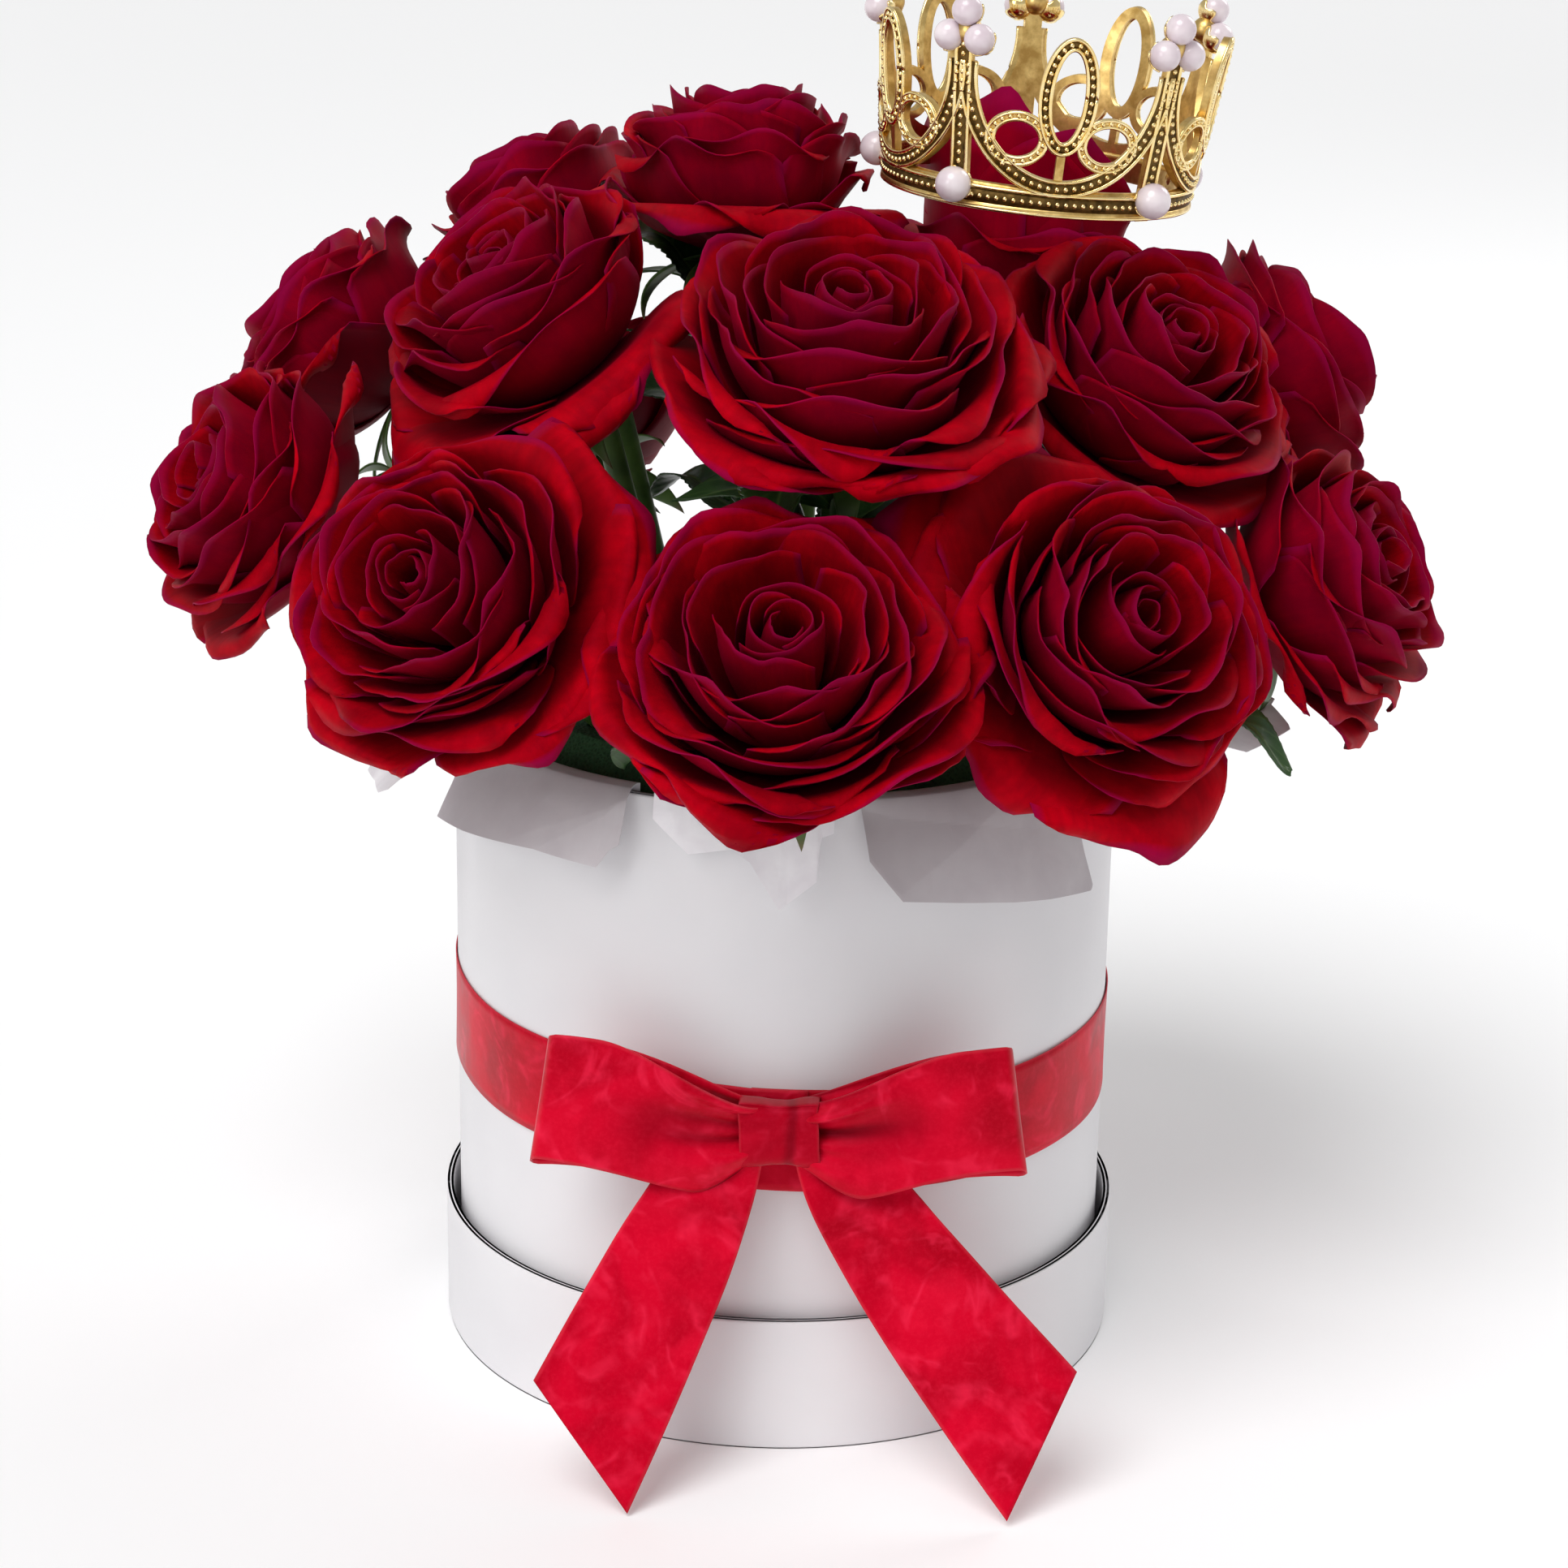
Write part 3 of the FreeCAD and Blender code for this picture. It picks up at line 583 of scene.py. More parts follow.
# ---- Tissue paper ----
# Thin crisp white tissue lines the box. Each sheet is tucked down behind the liner, folded over
# the rim, and its free edge is left sticking out, creased and unevenly torn.
tissue = Finish("white_tissue", Roughness=0.6, Specular_IOR_Level=0.35)
crush = tissue.noise(110.0, 3.0, 0.55, 0.3)
tissue_colour = tissue.tint(crush, 0.35, 0.65, (0.80, 0.77, 0.81), (0.90, 0.88, 0.91))
# Painted shade: the tissue's colour is mixed towards a warm grey where the sheets lie in the roses' shade.
tissue.feed(Base_Color=tissue.mix(tissue.attribute("doubled"), tissue_colour, (0.36, 0.315, 0.33)))
tissue.bump(crush, 0.12, 0.0006)


def zigzag(value):
    """A triangle wave from -1 to 1 of period 2."""
    return 2.0 * np.abs(np.mod(value, 2.0) - 1.0) - 1.0


def creases(a, b, seed, count=3):
    """Crushed paper: triangle waves laid at seeded angles over the sheet, finer ones shallower."""
    random = np.random.default_rng(seed)
    height = 0.0
    for k in range(count):
        angle = random.uniform(0, math.pi)
        pitch = random.uniform(0.010, 0.018) * (1.0 + 0.8 / (k + 1))
        phase = random.uniform(0, 2)
        height = height + zigzag((a * math.cos(angle) + b * math.sin(angle)) / pitch + phase) / (k + 1.5)
    return height


# The free edge of each sheet, as pairs along it from -1 to 1: how far it hangs past the rim there, as
# a share of the sheet's own reach. Then how much painted shade darkens it, where it lies two layers thick in the
# roses' shade.
edges = {
    1: ([(-1, 0.8), (0.0, 1.10), (0.9, 1.0), (1, 0.9)], 0.12),
    2: ([(-1, 1.22), (0.3, 1.02), (0.85, 1.05), (0.93, 0.8), (1, 0.72)], 0.80),
    3: ([(-1, 0.30), (-0.55, 0.62), (-0.1, 0.52), (0.10, 0.66), (0.42, 1.16), (0.80, 0.86), (0.86, 0.4),
         (1, 0.35)], 0.02),
    4: ([(-1, 0.50), (-0.75, 0.86), (0.2, 1.02), (0.96, 1.12), (1, 1.08)], 0.72),
    5: ([(-1, 0.60), (-0.3, 1.0), (0.1, 0.70), (0.5, 1.10), (1, 0.5)], 0.25),
    6: ([(-1, 0.70), (-0.4, 0.95), (0.1, 1.10), (0.5, 0.80), (1, 1.0)], 0.0),
}
plain_shade = 0.1
tissue_thick = 0.00016
curled_sheet, tip_curl = 6, 0.012
off_rim, crushed_tuck, crushed_free = 0.0008, 0.00012, 0.0008
rise, over = 0.40, 0.55
s = np.linspace(0.0, 1.0, 71)[:, None]
t = np.linspace(-1.0, 1.0, 81)[None, :]
up = np.clip(s / rise, 0, 1)
across_rim = np.clip((s - rise) / (over - rise), 0, 1)
out = np.clip((s - over) / (1 - over), 0, 1)
free = smooth_step(s, over - 0.05, over + 0.2)
five_places = np.linspace(-1, 1, 5)
tissue_nodes = sorted(node for node in frame["nodes"] if node.startswith("tissue_sheet_"))
for number, node in enumerate(tissue_nodes, 1):
    points = node_points(node)
    azimuth = np.arctan2(points[:, 0], -points[:, 1])
    middle = math.atan2(np.sin(azimuth).mean(), np.cos(azimuth).mean())
    half_sweep = np.abs(np.mod(azimuth - middle + math.pi, 2 * math.pi) - math.pi).max()
    radial = np.hypot(points[:, 0], points[:, 1])
    inner, reach = radial.min() + 0.0003, radial.max() - box_radius
    top = points[:, 2].max()
    tuck = top - points[:, 2].min()
    drop = top - points[radial > radial.max() - 0.0012, 2].min()

    random = np.random.default_rng(300 + number)
    by_chance = random.uniform(0.6, 1.1, 5)
    outline, doubled = edges.get(number, (list(zip(five_places, by_chance)), plain_shade))
    hang = np.interp(t, *zip(*outline))
    kink = np.interp(t, five_places, random.uniform(-0.35, 0.35, 5))
    radius = inner + (box_radius + off_rim - inner) * across_rim + out * reach * (hang + 0.35 * kink * out)
    height = top - tuck * (1 - up) + 0.0004 * np.sin(across_rim * math.pi) - drop * hang * out ** 1.25
    height = height + 0.0030 * kink * out * (1 - out)
    if number == curled_sheet:
        height = height + tip_curl * out ** 3 * (1 + t) / 2
    around = middle + t * half_sweep * (1.0 - 0.03 * out * (1 - hang)) + 0.02 * kink * out
    crushed = creases(t * half_sweep * box_radius, s * (tuck + reach), 400 + number)
    radius = radius + crushed * (crushed_tuck + crushed_free * free)
    height = height + crushed * 0.0004 * free
    grid = np.stack([radius * np.sin(around), -radius * np.cos(around), height], -1)
    points, faces = thin_shell(grid[None], tissue_thick)
    # Painted shade: the sheet is darkened to a warm grey by that share from the rim outwards, somewhat more at one
    # end than at the other.
    shade = doubled * (0.75 + 0.25 * smooth_step(-t, -1.0, 1.0)) * smooth_step(s, over - 0.1, over)
    shade = both_sides(shade[None], (1, *grid.shape[:2]))
    sheet = mesh_piece(node + "_creased", points, faces, tissue, smooth=False, doubled=shade)
    stand_for(sheet, node)
    wide, long = 2 * half_sweep * (box_radius + reach / 2), lengths(grid).mean()

# ---- Stems ----
# Each rose has a green stem cut square at its lower end, with a few thorns, a rounded hip under
# the bloom, and five narrow sepals that have folded back from the hip.
green = Finish("green_stem", Roughness=0.42, Specular_IOR_Level=0.4)
streak = green.noise(120.0, 3.0, 0.5)
stem_colour = green.tint(streak, 0.3, 0.7, (0.030, 0.075, 0.012), (0.085, 0.17, 0.03))
green.feed(Base_Color=green.mix(green.attribute("tip") * 0.75, stem_colour, (0.12, 0.055, 0.02)))
green.bump(streak, 0.15, 0.0005)


def bloom_frame(node):
    """Foot, axis, widest radius and depth of a bloom, read from the cup that stands for it."""
    points = node_points(node)
    mesh = frame["nodes"][node].data
    mesh.calc_loop_triangles()
    triangles = np.zeros(len(mesh.loop_triangles) * 3, np.int32)
    mesh.loop_triangles.foreach_get("vertices", triangles)
    corners = points[triangles.reshape(-1, 3)]
    area = np.linalg.norm(np.cross(corners[:, 1] - corners[:, 0], corners[:, 2] - corners[:, 0]), axis=1)
    centres = corners.mean(1)
    middle = (centres * area[:, None]).sum(0) / area.sum()
    spread = (centres - middle).T @ ((centres - middle) * area[:, None])
    axis = np.linalg.eigh(spread)[1][:, 0]
    stem = node_points(node.replace("_bloom", "_stem")).mean(0)
    if np.dot(middle - stem, axis) < 0:
        axis = -axis
    along = (points - middle) @ axis
    aside = np.linalg.norm(points - middle - along[:, None] * axis, axis=1)
    return middle + axis * along.min(), axis, aside.max(), along.max() - along.min()


def facing(axis):
    """Turn that takes +Z to an axis and +X as nearly down as it can; its columns are the new X, Y and Z."""
    down = np.array([0.0, 0.0, -1.0])
    first = unit(down - axis * np.dot(down, axis) + np.array([0.0, -1e-6, 0.0]))
    return np.array([first, np.cross(axis, first), axis]).T


end_wide, hip_tall = 0.0060, 0.009


def stem_line(node, bloom):
    """Cut end of a stem, the knee where its hip begins, and the foot and axis of its bloom."""
    points = node_points(node)
    foot, axis = bloom_frame(bloom)[:2]
    lowest = points[np.argmin(points[:, 2])]
    end = points[np.linalg.norm(points - lowest, axis=1) < end_wide].mean(0)
    return end, foot - axis * hip_tall, foot, axis


def rod(line, radius, columns=20):
    """
    A round rod: circles of the given radius at each point of a line, square to it. The end circles
    are repeated a hair further out and shrunk to points, which closes the rod.
    """
    hair = 1e-6
    first = line[:1] - unit(line[1:2] - line[:1]) * hair
    last = line[-1:] - unit(line[-2:-1] - line[-1:]) * hair
    line = np.concatenate([first, line, last])
    radius = np.concatenate([[1e-9], radius, [1e-9]])
    way = unit(np.gradient(line, axis=0))
    side = unit(np.cross(way, np.array([0.31, 0.17, 0.93])))
    angle = np.linspace(0, 2 * math.pi, columns, endpoint=False)[None, :, None]
    ring = side[:, None] * np.cos(angle) + np.cross(way, side)[:, None] * np.sin(angle)
    points = line[:, None] + ring * radius[:, None, None]
    return points.reshape(-1, 3), grid_faces(len(line), columns, wrap_columns=True)[:, ::-1]


def joined(parts):
    """Several meshes as one: all their points in turn, and their faces, each counted on from the last."""
    starts = np.cumsum([0] + [len(points) for points, _ in parts])
    return (np.concatenate([points for points, _ in parts]),
            np.concatenate([faces + start for (_, faces), start in zip(parts, starts)]))


def chances(random, low, high, count):
    """One random value for each sheet of a batch of grids."""
    return random.uniform(low, high, count)[:, None, None]


stem_radius, hip_swell, hip_neck = 0.0028, 0.0024, 0.0006
thorns, thorn_out, thorn_long, thorn_first, thorn_pitch = 4, 0.0022, 0.0036, 0.008, 0.013
thorn_radii = np.array([0.0011, 0.0007, 0.0004, 0.0001])
sepal_count, sepal_thick = 5, 0.00045
sepal_foot, sepal_long, sepal_fall, sepal_half_wide = 0.0046, 0.021, 0.014, 0.0032
v = np.linspace(0.0, 1.0, 17)[None, :, None]
u = np.linspace(-1.0, 1.0, 9)[None, None, :]
blooms = sorted(node for node in frame["nodes"] if node.startswith("rose_") and node.endswith("_bloom"))
for number, bloom in enumerate(blooms, 1):
    node = bloom.replace("_bloom", "_stem")
    random = np.random.default_rng(500 + number)
    end, knee, foot, axis = stem_line(node, bloom)
    length = np.linalg.norm(knee - end)
    along = unit(knee - end)
    straight = end + (knee - end) * np.linspace(0, 1, 40)[:-1, None]
    hip_share = np.linspace(0.12, 1, 12)
    line = np.concatenate([straight, knee + (foot - knee) * hip_share[:, None]])
    straight_radius = stem_radius * (1.0 + 0.03 * np.sin(np.linspace(0, 9, len(straight))))
    hip_radius = stem_radius + hip_swell * smooth_step(hip_share, 0.0, 0.75)
    hip_radius = hip_radius - hip_neck * smooth_step(hip_share, 0.75, 1)
    parts = [rod(line, np.concatenate([straight_radius, hip_radius]))]
    side = unit(np.cross(along, np.array([0.2, 0.3, 0.9])))
    share = np.linspace(0, 1, len(thorn_radii))[:, None]
    for k in range(thorns):
        at_share = 1.0 - (thorn_first + thorn_pitch * k) / length
        turn = random.uniform(0, 2 * math.pi)
        out = side * math.cos(turn) + np.cross(along, side) * math.sin(turn)
        spine = end + (knee - end) * at_share + out * thorn_out + out * thorn_long * share
        spine = spine - along * (0.0012 * share + 0.0010 * share ** 2)
        parts.append(rod(spine, thorn_radii, 8))
    points, faces = joined(parts)
    tips = np.repeat([0.0] + [0.8] * thorns, [len(part[0]) for part in parts])
    stem = mesh_piece(node + "_cut", points, faces, green, weld=True, tip=tips)
    stand_for(stem, node)

    spread_to = chances(random, -0.25, 0.25, sepal_count)
    spread_to = spread_to + np.arange(sepal_count)[:, None, None] * 2 * math.pi / sepal_count
    size = chances(random, 0.8, 1.15, sepal_count)
    bend = chances(random, 0.75, 1.35, sepal_count)
    x = sepal_foot + sepal_long * size * np.sin(v * math.pi * 0.5 * bend)
    fall = -0.0008 - sepal_fall * size * v ** 1.6 * bend
    wide = sepal_half_wide * size * (1.0 - v ** 2.2) * (0.75 + 0.5 * np.sin(v * math.pi))
    twist = chances(random, -0.7, 0.7, sepal_count) * v
    y = u * wide * np.cos(twist)
    z = fall + u * wide * np.sin(twist) + 0.0009 * u ** 2 * (1 - v)
    grid = np.stack([x * np.cos(spread_to) - y * np.sin(spread_to),
                     x * np.sin(spread_to) + y * np.cos(spread_to), z], -1)
    points, faces = thin_shell(grid @ facing(axis).T + foot, sepal_thick)
    shape = grid.shape[:3]
    tips = both_sides(np.broadcast_to(smooth_step(v, 0.75, 1.0), shape), shape)
    sepals = mesh_piece(node.replace("_stem", "_sepals"), points, faces, green, tip=tips)
    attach(sepals, body_of_node(bloom))

# ---- Roses ----
# Open deep-red roses, each on its own stem. A bloom is about thirty velvet petals set in a
# spiral on the hip: tight and upright in the middle, cupped further out, and rolled back at the rim.
velvet = Finish("velvet_petal", Roughness=0.6, Specular_IOR_Level=0.12, Specular_Tint=(1.0, 0.05, 0.2, 1.0),
                Sheen_Weight=0.12, Sheen_Roughness=0.45, Sheen_Tint=(1.0, 0.01, 0.10, 1.0))
lip = velvet.attribute("lip")
vein_place = velvet.node("ShaderNodeCombineXYZ", None, {"X": velvet.attribute("vein") * 26.0, "Y": lip * 1.5})
veins = velvet.node("ShaderNodeTexNoise", {"noise_dimensions": "2D"}, {
    "Vector": vein_place, "Scale": 1.0, "Detail": 3.0, "Roughness": 0.6})
mottle = velvet.noise(70.0, 4.0, 0.6)
petal_colour = velvet.tint(mottle, 0.35, 0.65, (0.26, 0.0, 0.004), (0.48, 0.0, 0.006))
petal_colour = velvet.tint(veins, 0.3, 0.75, petal_colour, (0.17, 0.0, 0.004), 0.35)
petal_colour = velvet.mix(velvet.attribute("outside") * 0.5, petal_colour, (0.16, 0.0, 0.020))
petal_colour = velvet.tint(lip, 0.80, 1.0, petal_colour, (0.24, 0.002, 0.050), 0.75)
# Painted shade: the petals are darkened towards black at their feet and over the bud, where shade falls deep in
# the bloom.
petal_colour = velvet.mix(velvet.attribute("painted_depth_shade"), petal_colour, (0.02, 0.0, 0.001), blend="MULTIPLY")
velvet.feed(Base_Color=petal_colour)
velvet.bump(veins * 0.6 + mottle * 0.5, 0.15, 0.0006)


golden_angle = math.radians(137.508)

# A petal's curve on a bloom of the model radius and depth, for the first petal and the last: the
# radius of its foot, belly, wall and lip, the height of its belly and wall, and its half width. The
# third number is how much it varies by chance.
model_radius, model_depth = 0.042, 0.043
petal_sizes = {
    "foot_r": (0.0010, 0.0045, 0.05), "belly_r": (0.0065, 0.033, 0.03), "belly_z": (0.010, 0.0020, 0.05),
    "wall_r": (0.0062, 0.0350, 0.03), "wall_z": (0.029, 0.0225, 0.03), "lip_r": (0.0034, 0.0388, 0.04),
    "half_wide": (0.0098, 0.0330, 0.06),
}
gap_wall, gap_lip, gap_down = 0.0040, 0.0050, 0.0018
droop_wall_out, droop_lip_out, droop_wall_down, droop_lip_down = 0.010, 0.018, 0.003, 0.018
lip_thick, foot_thick = 0.00028, 0.00070


def petals(size, depth, seed, count=28, droops=(), gap=1.0):
    """
    All petals of one bloom, standing on the origin and facing +Z, as closed thin shells.
    A petal's middle line is a cubic curve in (radius, height) from the hip, out round the cup and up
    to its lip; its control points open out from the first petal to the last. Across the petal the
    points turn round the axis by the petal's half width over its radius. Added to that are a roll of
    the lip outwards, strongest at its two shoulders, a slow wave along the lip, and fine folds.
    The petals past the bud stand off it by the gap, which leaves a dark hollow round it.
    Returns points, faces, and the lip, painted shade, outside and vein values.
    """
    random = np.random.default_rng(seed)
    rows, columns = 19, 25
    total = count + len(droops)
    v = np.linspace(0.0, 1.0, rows)[None, :, None]
    u = np.linspace(-1.0, 1.0, columns)[None, None, :]
    order = np.minimum(np.arange(total) / (count - 1), 1.0)
    opened = order ** 0.85
    droop = np.zeros(total)
    turn = np.arange(total) * golden_angle + random.uniform(0, 2 * math.pi)
    turn = turn + random.normal(0.0, 0.20, total)
    for k, (angle, amount) in enumerate(droops, count):
        turn[k], droop[k] = angle, amount

    def varied(key, power=1.0):
        """A size from the first petal to the last, each petal a little off it."""
        first, last, spread = petal_sizes[key]
        value = between(first, last, opened ** power) * (1.0 + random.normal(0.0, spread, total))
        return value[:, None, None]

    scale, lift = size / model_radius, depth / model_depth
    open_all = opened[:, None, None]
    drop = droop[:, None, None]
    spill = np.maximum(drop, 0.0) + 0.25 * np.minimum(drop, 0.0)
    hollow = smooth_step(order, 0.15, 0.22)[:, None, None]
    foot_r = varied("foot_r") * scale
    belly_r = varied("belly_r") * scale
    belly_z = varied("belly_z") * lift
    gap_left = hollow * (1.0 - 0.75 * open_all) * gap
    wall_r = (varied("wall_r") + gap_left * gap_wall + spill * droop_wall_out) * scale
    wall_z = (varied("wall_z") - drop * droop_wall_down) * lift
    lip_r = (varied("lip_r") + gap_left * gap_lip + spill * droop_lip_out) * scale
    dome = 0.0375 + 0.018 * open_all - 0.0290 * open_all ** 1.7
    lip_z = dome * (1.0 + random.normal(0.0, 0.03, total))[:, None, None] - drop * droop_lip_down
    lip_z = (lip_z - (1.0 - hollow) * gap_down * gap) * lift

    point = 0.075 * np.exp(-(u / 0.18) ** 2) * chances(random, 0.2, 1.0, total)
    rounding = 0.06 + 0.17 * open_all
    reach = v * (1.0 - rounding * np.abs(u) ** 2.8 + point * open_all)
    left = 1.0 - reach
    a, b, c, d = left ** 3, 3 * reach * left ** 2, 3 * reach ** 2 * left, reach ** 3
    radius = a * foot_r + b * belly_r + c * wall_r + d * lip_r
    height = a * 0.0005 + b * belly_z + c * wall_z + d * lip_z
    width = varied("half_wide", 0.75) * scale * (0.28 + 0.72 * smooth_step(v, 0.0, 0.62))
    swing = np.minimum(width / np.maximum(radius, 0.004 * scale), math.radians(125))
    around = turn[:, None, None] + u * swing
    side = random.choice([-1.0, 1.0], total)[:, None, None]
    flatten = open_all * 0.15
    radius = radius * (1.0 + flatten * (1.0 / np.cos(np.clip(u * swing, -0.9, 0.9)) - 1.0))

    shoulder = smooth_step(np.abs(u), 0.05, 0.9)
    near_lip = smooth_step(reach, 0.70, 1.03)
    edge = np.maximum(near_lip, smooth_step(np.abs(u), 0.70, 1.0) * smooth_step(v, 0.35, 0.8))
    roll = (0.45 + 1.95 * open_all ** 0.7) * chances(random, 0.65, 1.30, total)
    roll = roll * near_lip * (0.45 + 0.85 * shoulder * (0.6 + 0.4 * side * u))
    roll_radius = (0.0015 + 0.0027 * open_all) * scale
    way_r, way_z = np.gradient(radius, axis=1), np.gradient(height, axis=1)
    way = np.maximum(np.hypot(way_r, way_z), 1e-9)
    way_r, way_z = way_r / way, way_z / way
    off, on = roll_radius * (1.0 - np.cos(roll)), roll_radius * (np.sin(roll) - roll)
    radius, height = radius + way_z * off + way_r * on, height - way_r * off + way_z * on
    radius = radius + side * u * v * (0.0008 + 0.0012 * open_all) * scale

    waves = chances(random, 0.8, 1.9, total)
    phase = chances(random, 0.0, 2 * math.pi, total)
    fine_deep, buckle_deep, crease_deep = 0.00032, 0.0006, 0.00016
    sway = (0.0005 + 0.0023 * open_all) * edge
    fine = np.sin(waves * 3.1 * u * math.pi + phase * 2.0) * near_lip ** 2 * (0.5 + open_all)
    buckle = np.sin(u * 3.1 + phase * 1.7 + v * 4.0) * np.sin(v * 5.0 + phase) * open_all * v
    crease = np.abs(np.sin(phase + u * 5.0)) * smooth_step(v, 0.2, 0.7)
    ruffle = np.sin(waves * u * math.pi + phase) * sway + fine * fine_deep
    radius = radius + (ruffle + buckle * buckle_deep - crease * crease_deep) * scale
    height = height + np.cos(waves * 1.2 * u * math.pi + phase) * sway * 0.8 * scale
    front = np.stack([radius * np.cos(around), radius * np.sin(around), height], -1)
    points, faces = thin_shell(front, between(foot_thick, lip_thick, edge) * scale)

    shape = (total, rows, columns)
    # Painted shade deep in the bloom: each petal is darker towards its foot, a little more by chance, and the
    # inner petals are darker still.
    shade = 0.72 * (1.0 - smooth_step(v, 0.05, 0.80)) + chances(random, 0.0, 0.12, total)
    shade = np.clip(shade + 0.22 * (1.0 - open_all), 0.0, 1.0)
    one_side = np.array([0.0, 1.0])[None, :, None, None]
    values = {
        "lip": both_sides(edge, shape),
        "painted_depth_shade": both_sides(np.broadcast_to(shade, shape), shape),
        "outside": np.broadcast_to(one_side, (total, 2, rows, columns)).ravel(),
        "vein": both_sides(np.broadcast_to(u * 0.5 + 3.7 * np.arange(total)[:, None, None], shape), shape),
    }
    return points, faces, values


# Guard petals, the outermost, bloom by bloom: each one's angle from the bloom's lowest side, and how
# far it hangs, or where that is less than nothing, how much taller it stands.
drooping = {
    1: [(-0.8, 0.2), (0.7, 0.25), (0.0, 0.1), (2.6, 0.5), (-2.6, 0.6), (-1.5, 0.45), (1.5, 0.45)],
    2: [(-0.6, 0.55), (0.1, 0.15), (0.85, 0.8), (1.6, 0.85), (2.25, 0.9)],
    3: [(0.02, 0.85), (0.6, 0.3), (-1.0, 0.9), (-1.75, 1.0), (-2.3, 1.1), (-2.9, 0.8)],
    4: [(0.3, 0.5), (-0.8, 0.6), (1.4, 0.4), (2.2, 0.5)],
    5: [(0.2, 0.8), (-0.7, 0.5), (1.2, 0.4), (-1.6, 0.6)],
    6: [(0.0, 0.2), (1.1, 0.35), (-1.1, 0.35), (-0.55, 0.45), (0.6, 0.35)],
    7: [(0.0, 0.8), (0.9, 1.3), (-0.9, 0.5), (0.35, 1.3), (1.5, 1.0)],
    8: [(0.1, 0.5), (-0.9, 0.6), (1.1, 0.5), (-2.2, 0.45), (-1.5, 0.55), (-2.8, 0.35)],
    10: [(0.0, 0.9), (0.8, 0.7), (-0.8, 0.9), (0.4, 1.2)],
    12: [(0.0, 0.35), (1.2, 0.3), (-1.2, 0.3), (2.9, 1.1), (-2.6, 1.2), (-1.9, 1.1)],
    13: [(0.0, 0.35), (1.2, 0.3), (2.75, -1.5), (3.4, -1.75), (-2.2, -1.45)],
}
# How far the petals past the bud stand off it, and how wide each bloom opens, where they differ.
bud_gap = {1: 1.5, 2: 0.8, 6: 0.7}
fullness = {1: 0.94, 6: 0.97}
plain_droops = [(0.0, 0.35), (1.2, 0.3), (-1.2, 0.3)]
for number, node in enumerate(blooms, 1):
    foot, axis, radius, depth = bloom_frame(node)
    points, faces, values = petals(radius * fullness.get(number, 1.0), depth, 100 + number,
                                   droops=drooping.get(number, plain_droops), gap=bud_gap.get(number, 1.0))
    points = points @ facing(axis).T + foot
    bloom = mesh_piece(node.replace("_bloom", "_petals"), points, faces, velvet, **values)
    stand_for(bloom, node)

# ---- Leaves ----
# Two rose leaves left on at the rim: pointed blades with toothed edges, folded a little along the
# midrib and curling at the tip.
leaf_green = Finish("leaf_green", Roughness=0.38, Specular_IOR_Level=0.45, Coat_Weight=0.08)
rib = leaf_green.attribute("rib")
slanted_run = leaf_green.attribute("run") - rib * 0.22
side_veins = leaf_green.node("ShaderNodeTexWave", {"wave_type": "BANDS", "bands_direction": "X"}, {
    "Vector": leaf_green.node("ShaderNodeCombineXYZ", None, {"X": slanted_run}),
    "Scale": 2.6, "Distortion": 0.5, "Detail": 1.0})
blotch = leaf_green.noise(90.0, 3.0, 0.6)
leaf_colour = leaf_green.tint(blotch, 0.3, 0.7, (0.010, 0.035, 0.008), (0.030, 0.085, 0.016))
leaf_colour = leaf_green.mix(leaf_green.spread(rib, 0.0, 0.07, 0.8, 0.0), leaf_colour, (0.10, 0.17, 0.04))
leaf_colour = leaf_green.tint(side_veins, 0.85, 1.0, leaf_colour, (0.06, 0.12, 0.03), 0.4)
leaf_green.feed(Base_Color=leaf_colour)
leaf_green.bump(side_veins * 0.5 + blotch * 0.4, 0.25, 0.0005)
leaf_thick = 0.00035


def leaf_piece(name, base, along, over, length, wide):
    """
    A batch of leaf blades from their bases, their directions along and over, and their sizes. The
    outline is a sine of the place along, drawn in to a point, with a triangle wave for its teeth. The
    two halves rise from the midrib, and the tip curls down.
    """
    v = np.linspace(0.0, 1.0, 61)[None, :, None]
    u = np.linspace(-1.0, 1.0, 15)[None, None, :]
    side = np.cross(over, along)
    base, along, over, side = (array[:, None, None, :] for array in (base, along, over, side))
    length, wide = length[:, None, None], wide[:, None, None]
    outline = np.sin(v ** 0.8 * math.pi) ** 0.85
    teeth = 1.0 - 0.10 * np.abs(zigzag(v * 22.0)) * smooth_step(v, 0.08, 0.3) * (1 - smooth_step(v, 0.9, 1.0))
    y = u * (0.0004 + wide / 2 * outline * teeth)
    curl = 0.10 * np.sin(v * math.pi) - 0.20 * smooth_step(v, 0.6, 1.0) ** 2 + 0.02 * np.sin(v * 13 + u * 2)
    z = np.abs(u) * wide * 0.16 * outline + curl * length
    grid = base + along * (v * length + 0.0 * u)[..., None] + side * y[..., None] + over * z[..., None]
    points, faces = thin_shell(grid, leaf_thick)
    shape = grid.shape[:3]
    ribs, runs = (both_sides(np.broadcast_to(value, shape), shape) for value in (np.abs(u), v))
    return mesh_piece(name, points, faces, leaf_green, rib=ribs, run=runs)


for node in ("leaf_left", "leaf_right"):
    points = node_points(node)
    middle = points.mean(0)
    first, second, third = np.linalg.svd(points - middle, full_matrices=False)[2]
    along = (points - middle) @ first
    base, point = points[np.argmin(along)], points[np.argmax(along)]
    if np.hypot(*base[:2]) > np.hypot(*point[:2]):
        base, point, first = point, base, -first
    if third[2] < 0:
        third = -third
    length, wide = np.linalg.norm(point - base), np.ptp((points - middle) @ second)
    leaf = leaf_piece(node + "_blade", *(np.array([value]) for value in (base, first, third, length, wide)))
    stand_for(leaf, node)

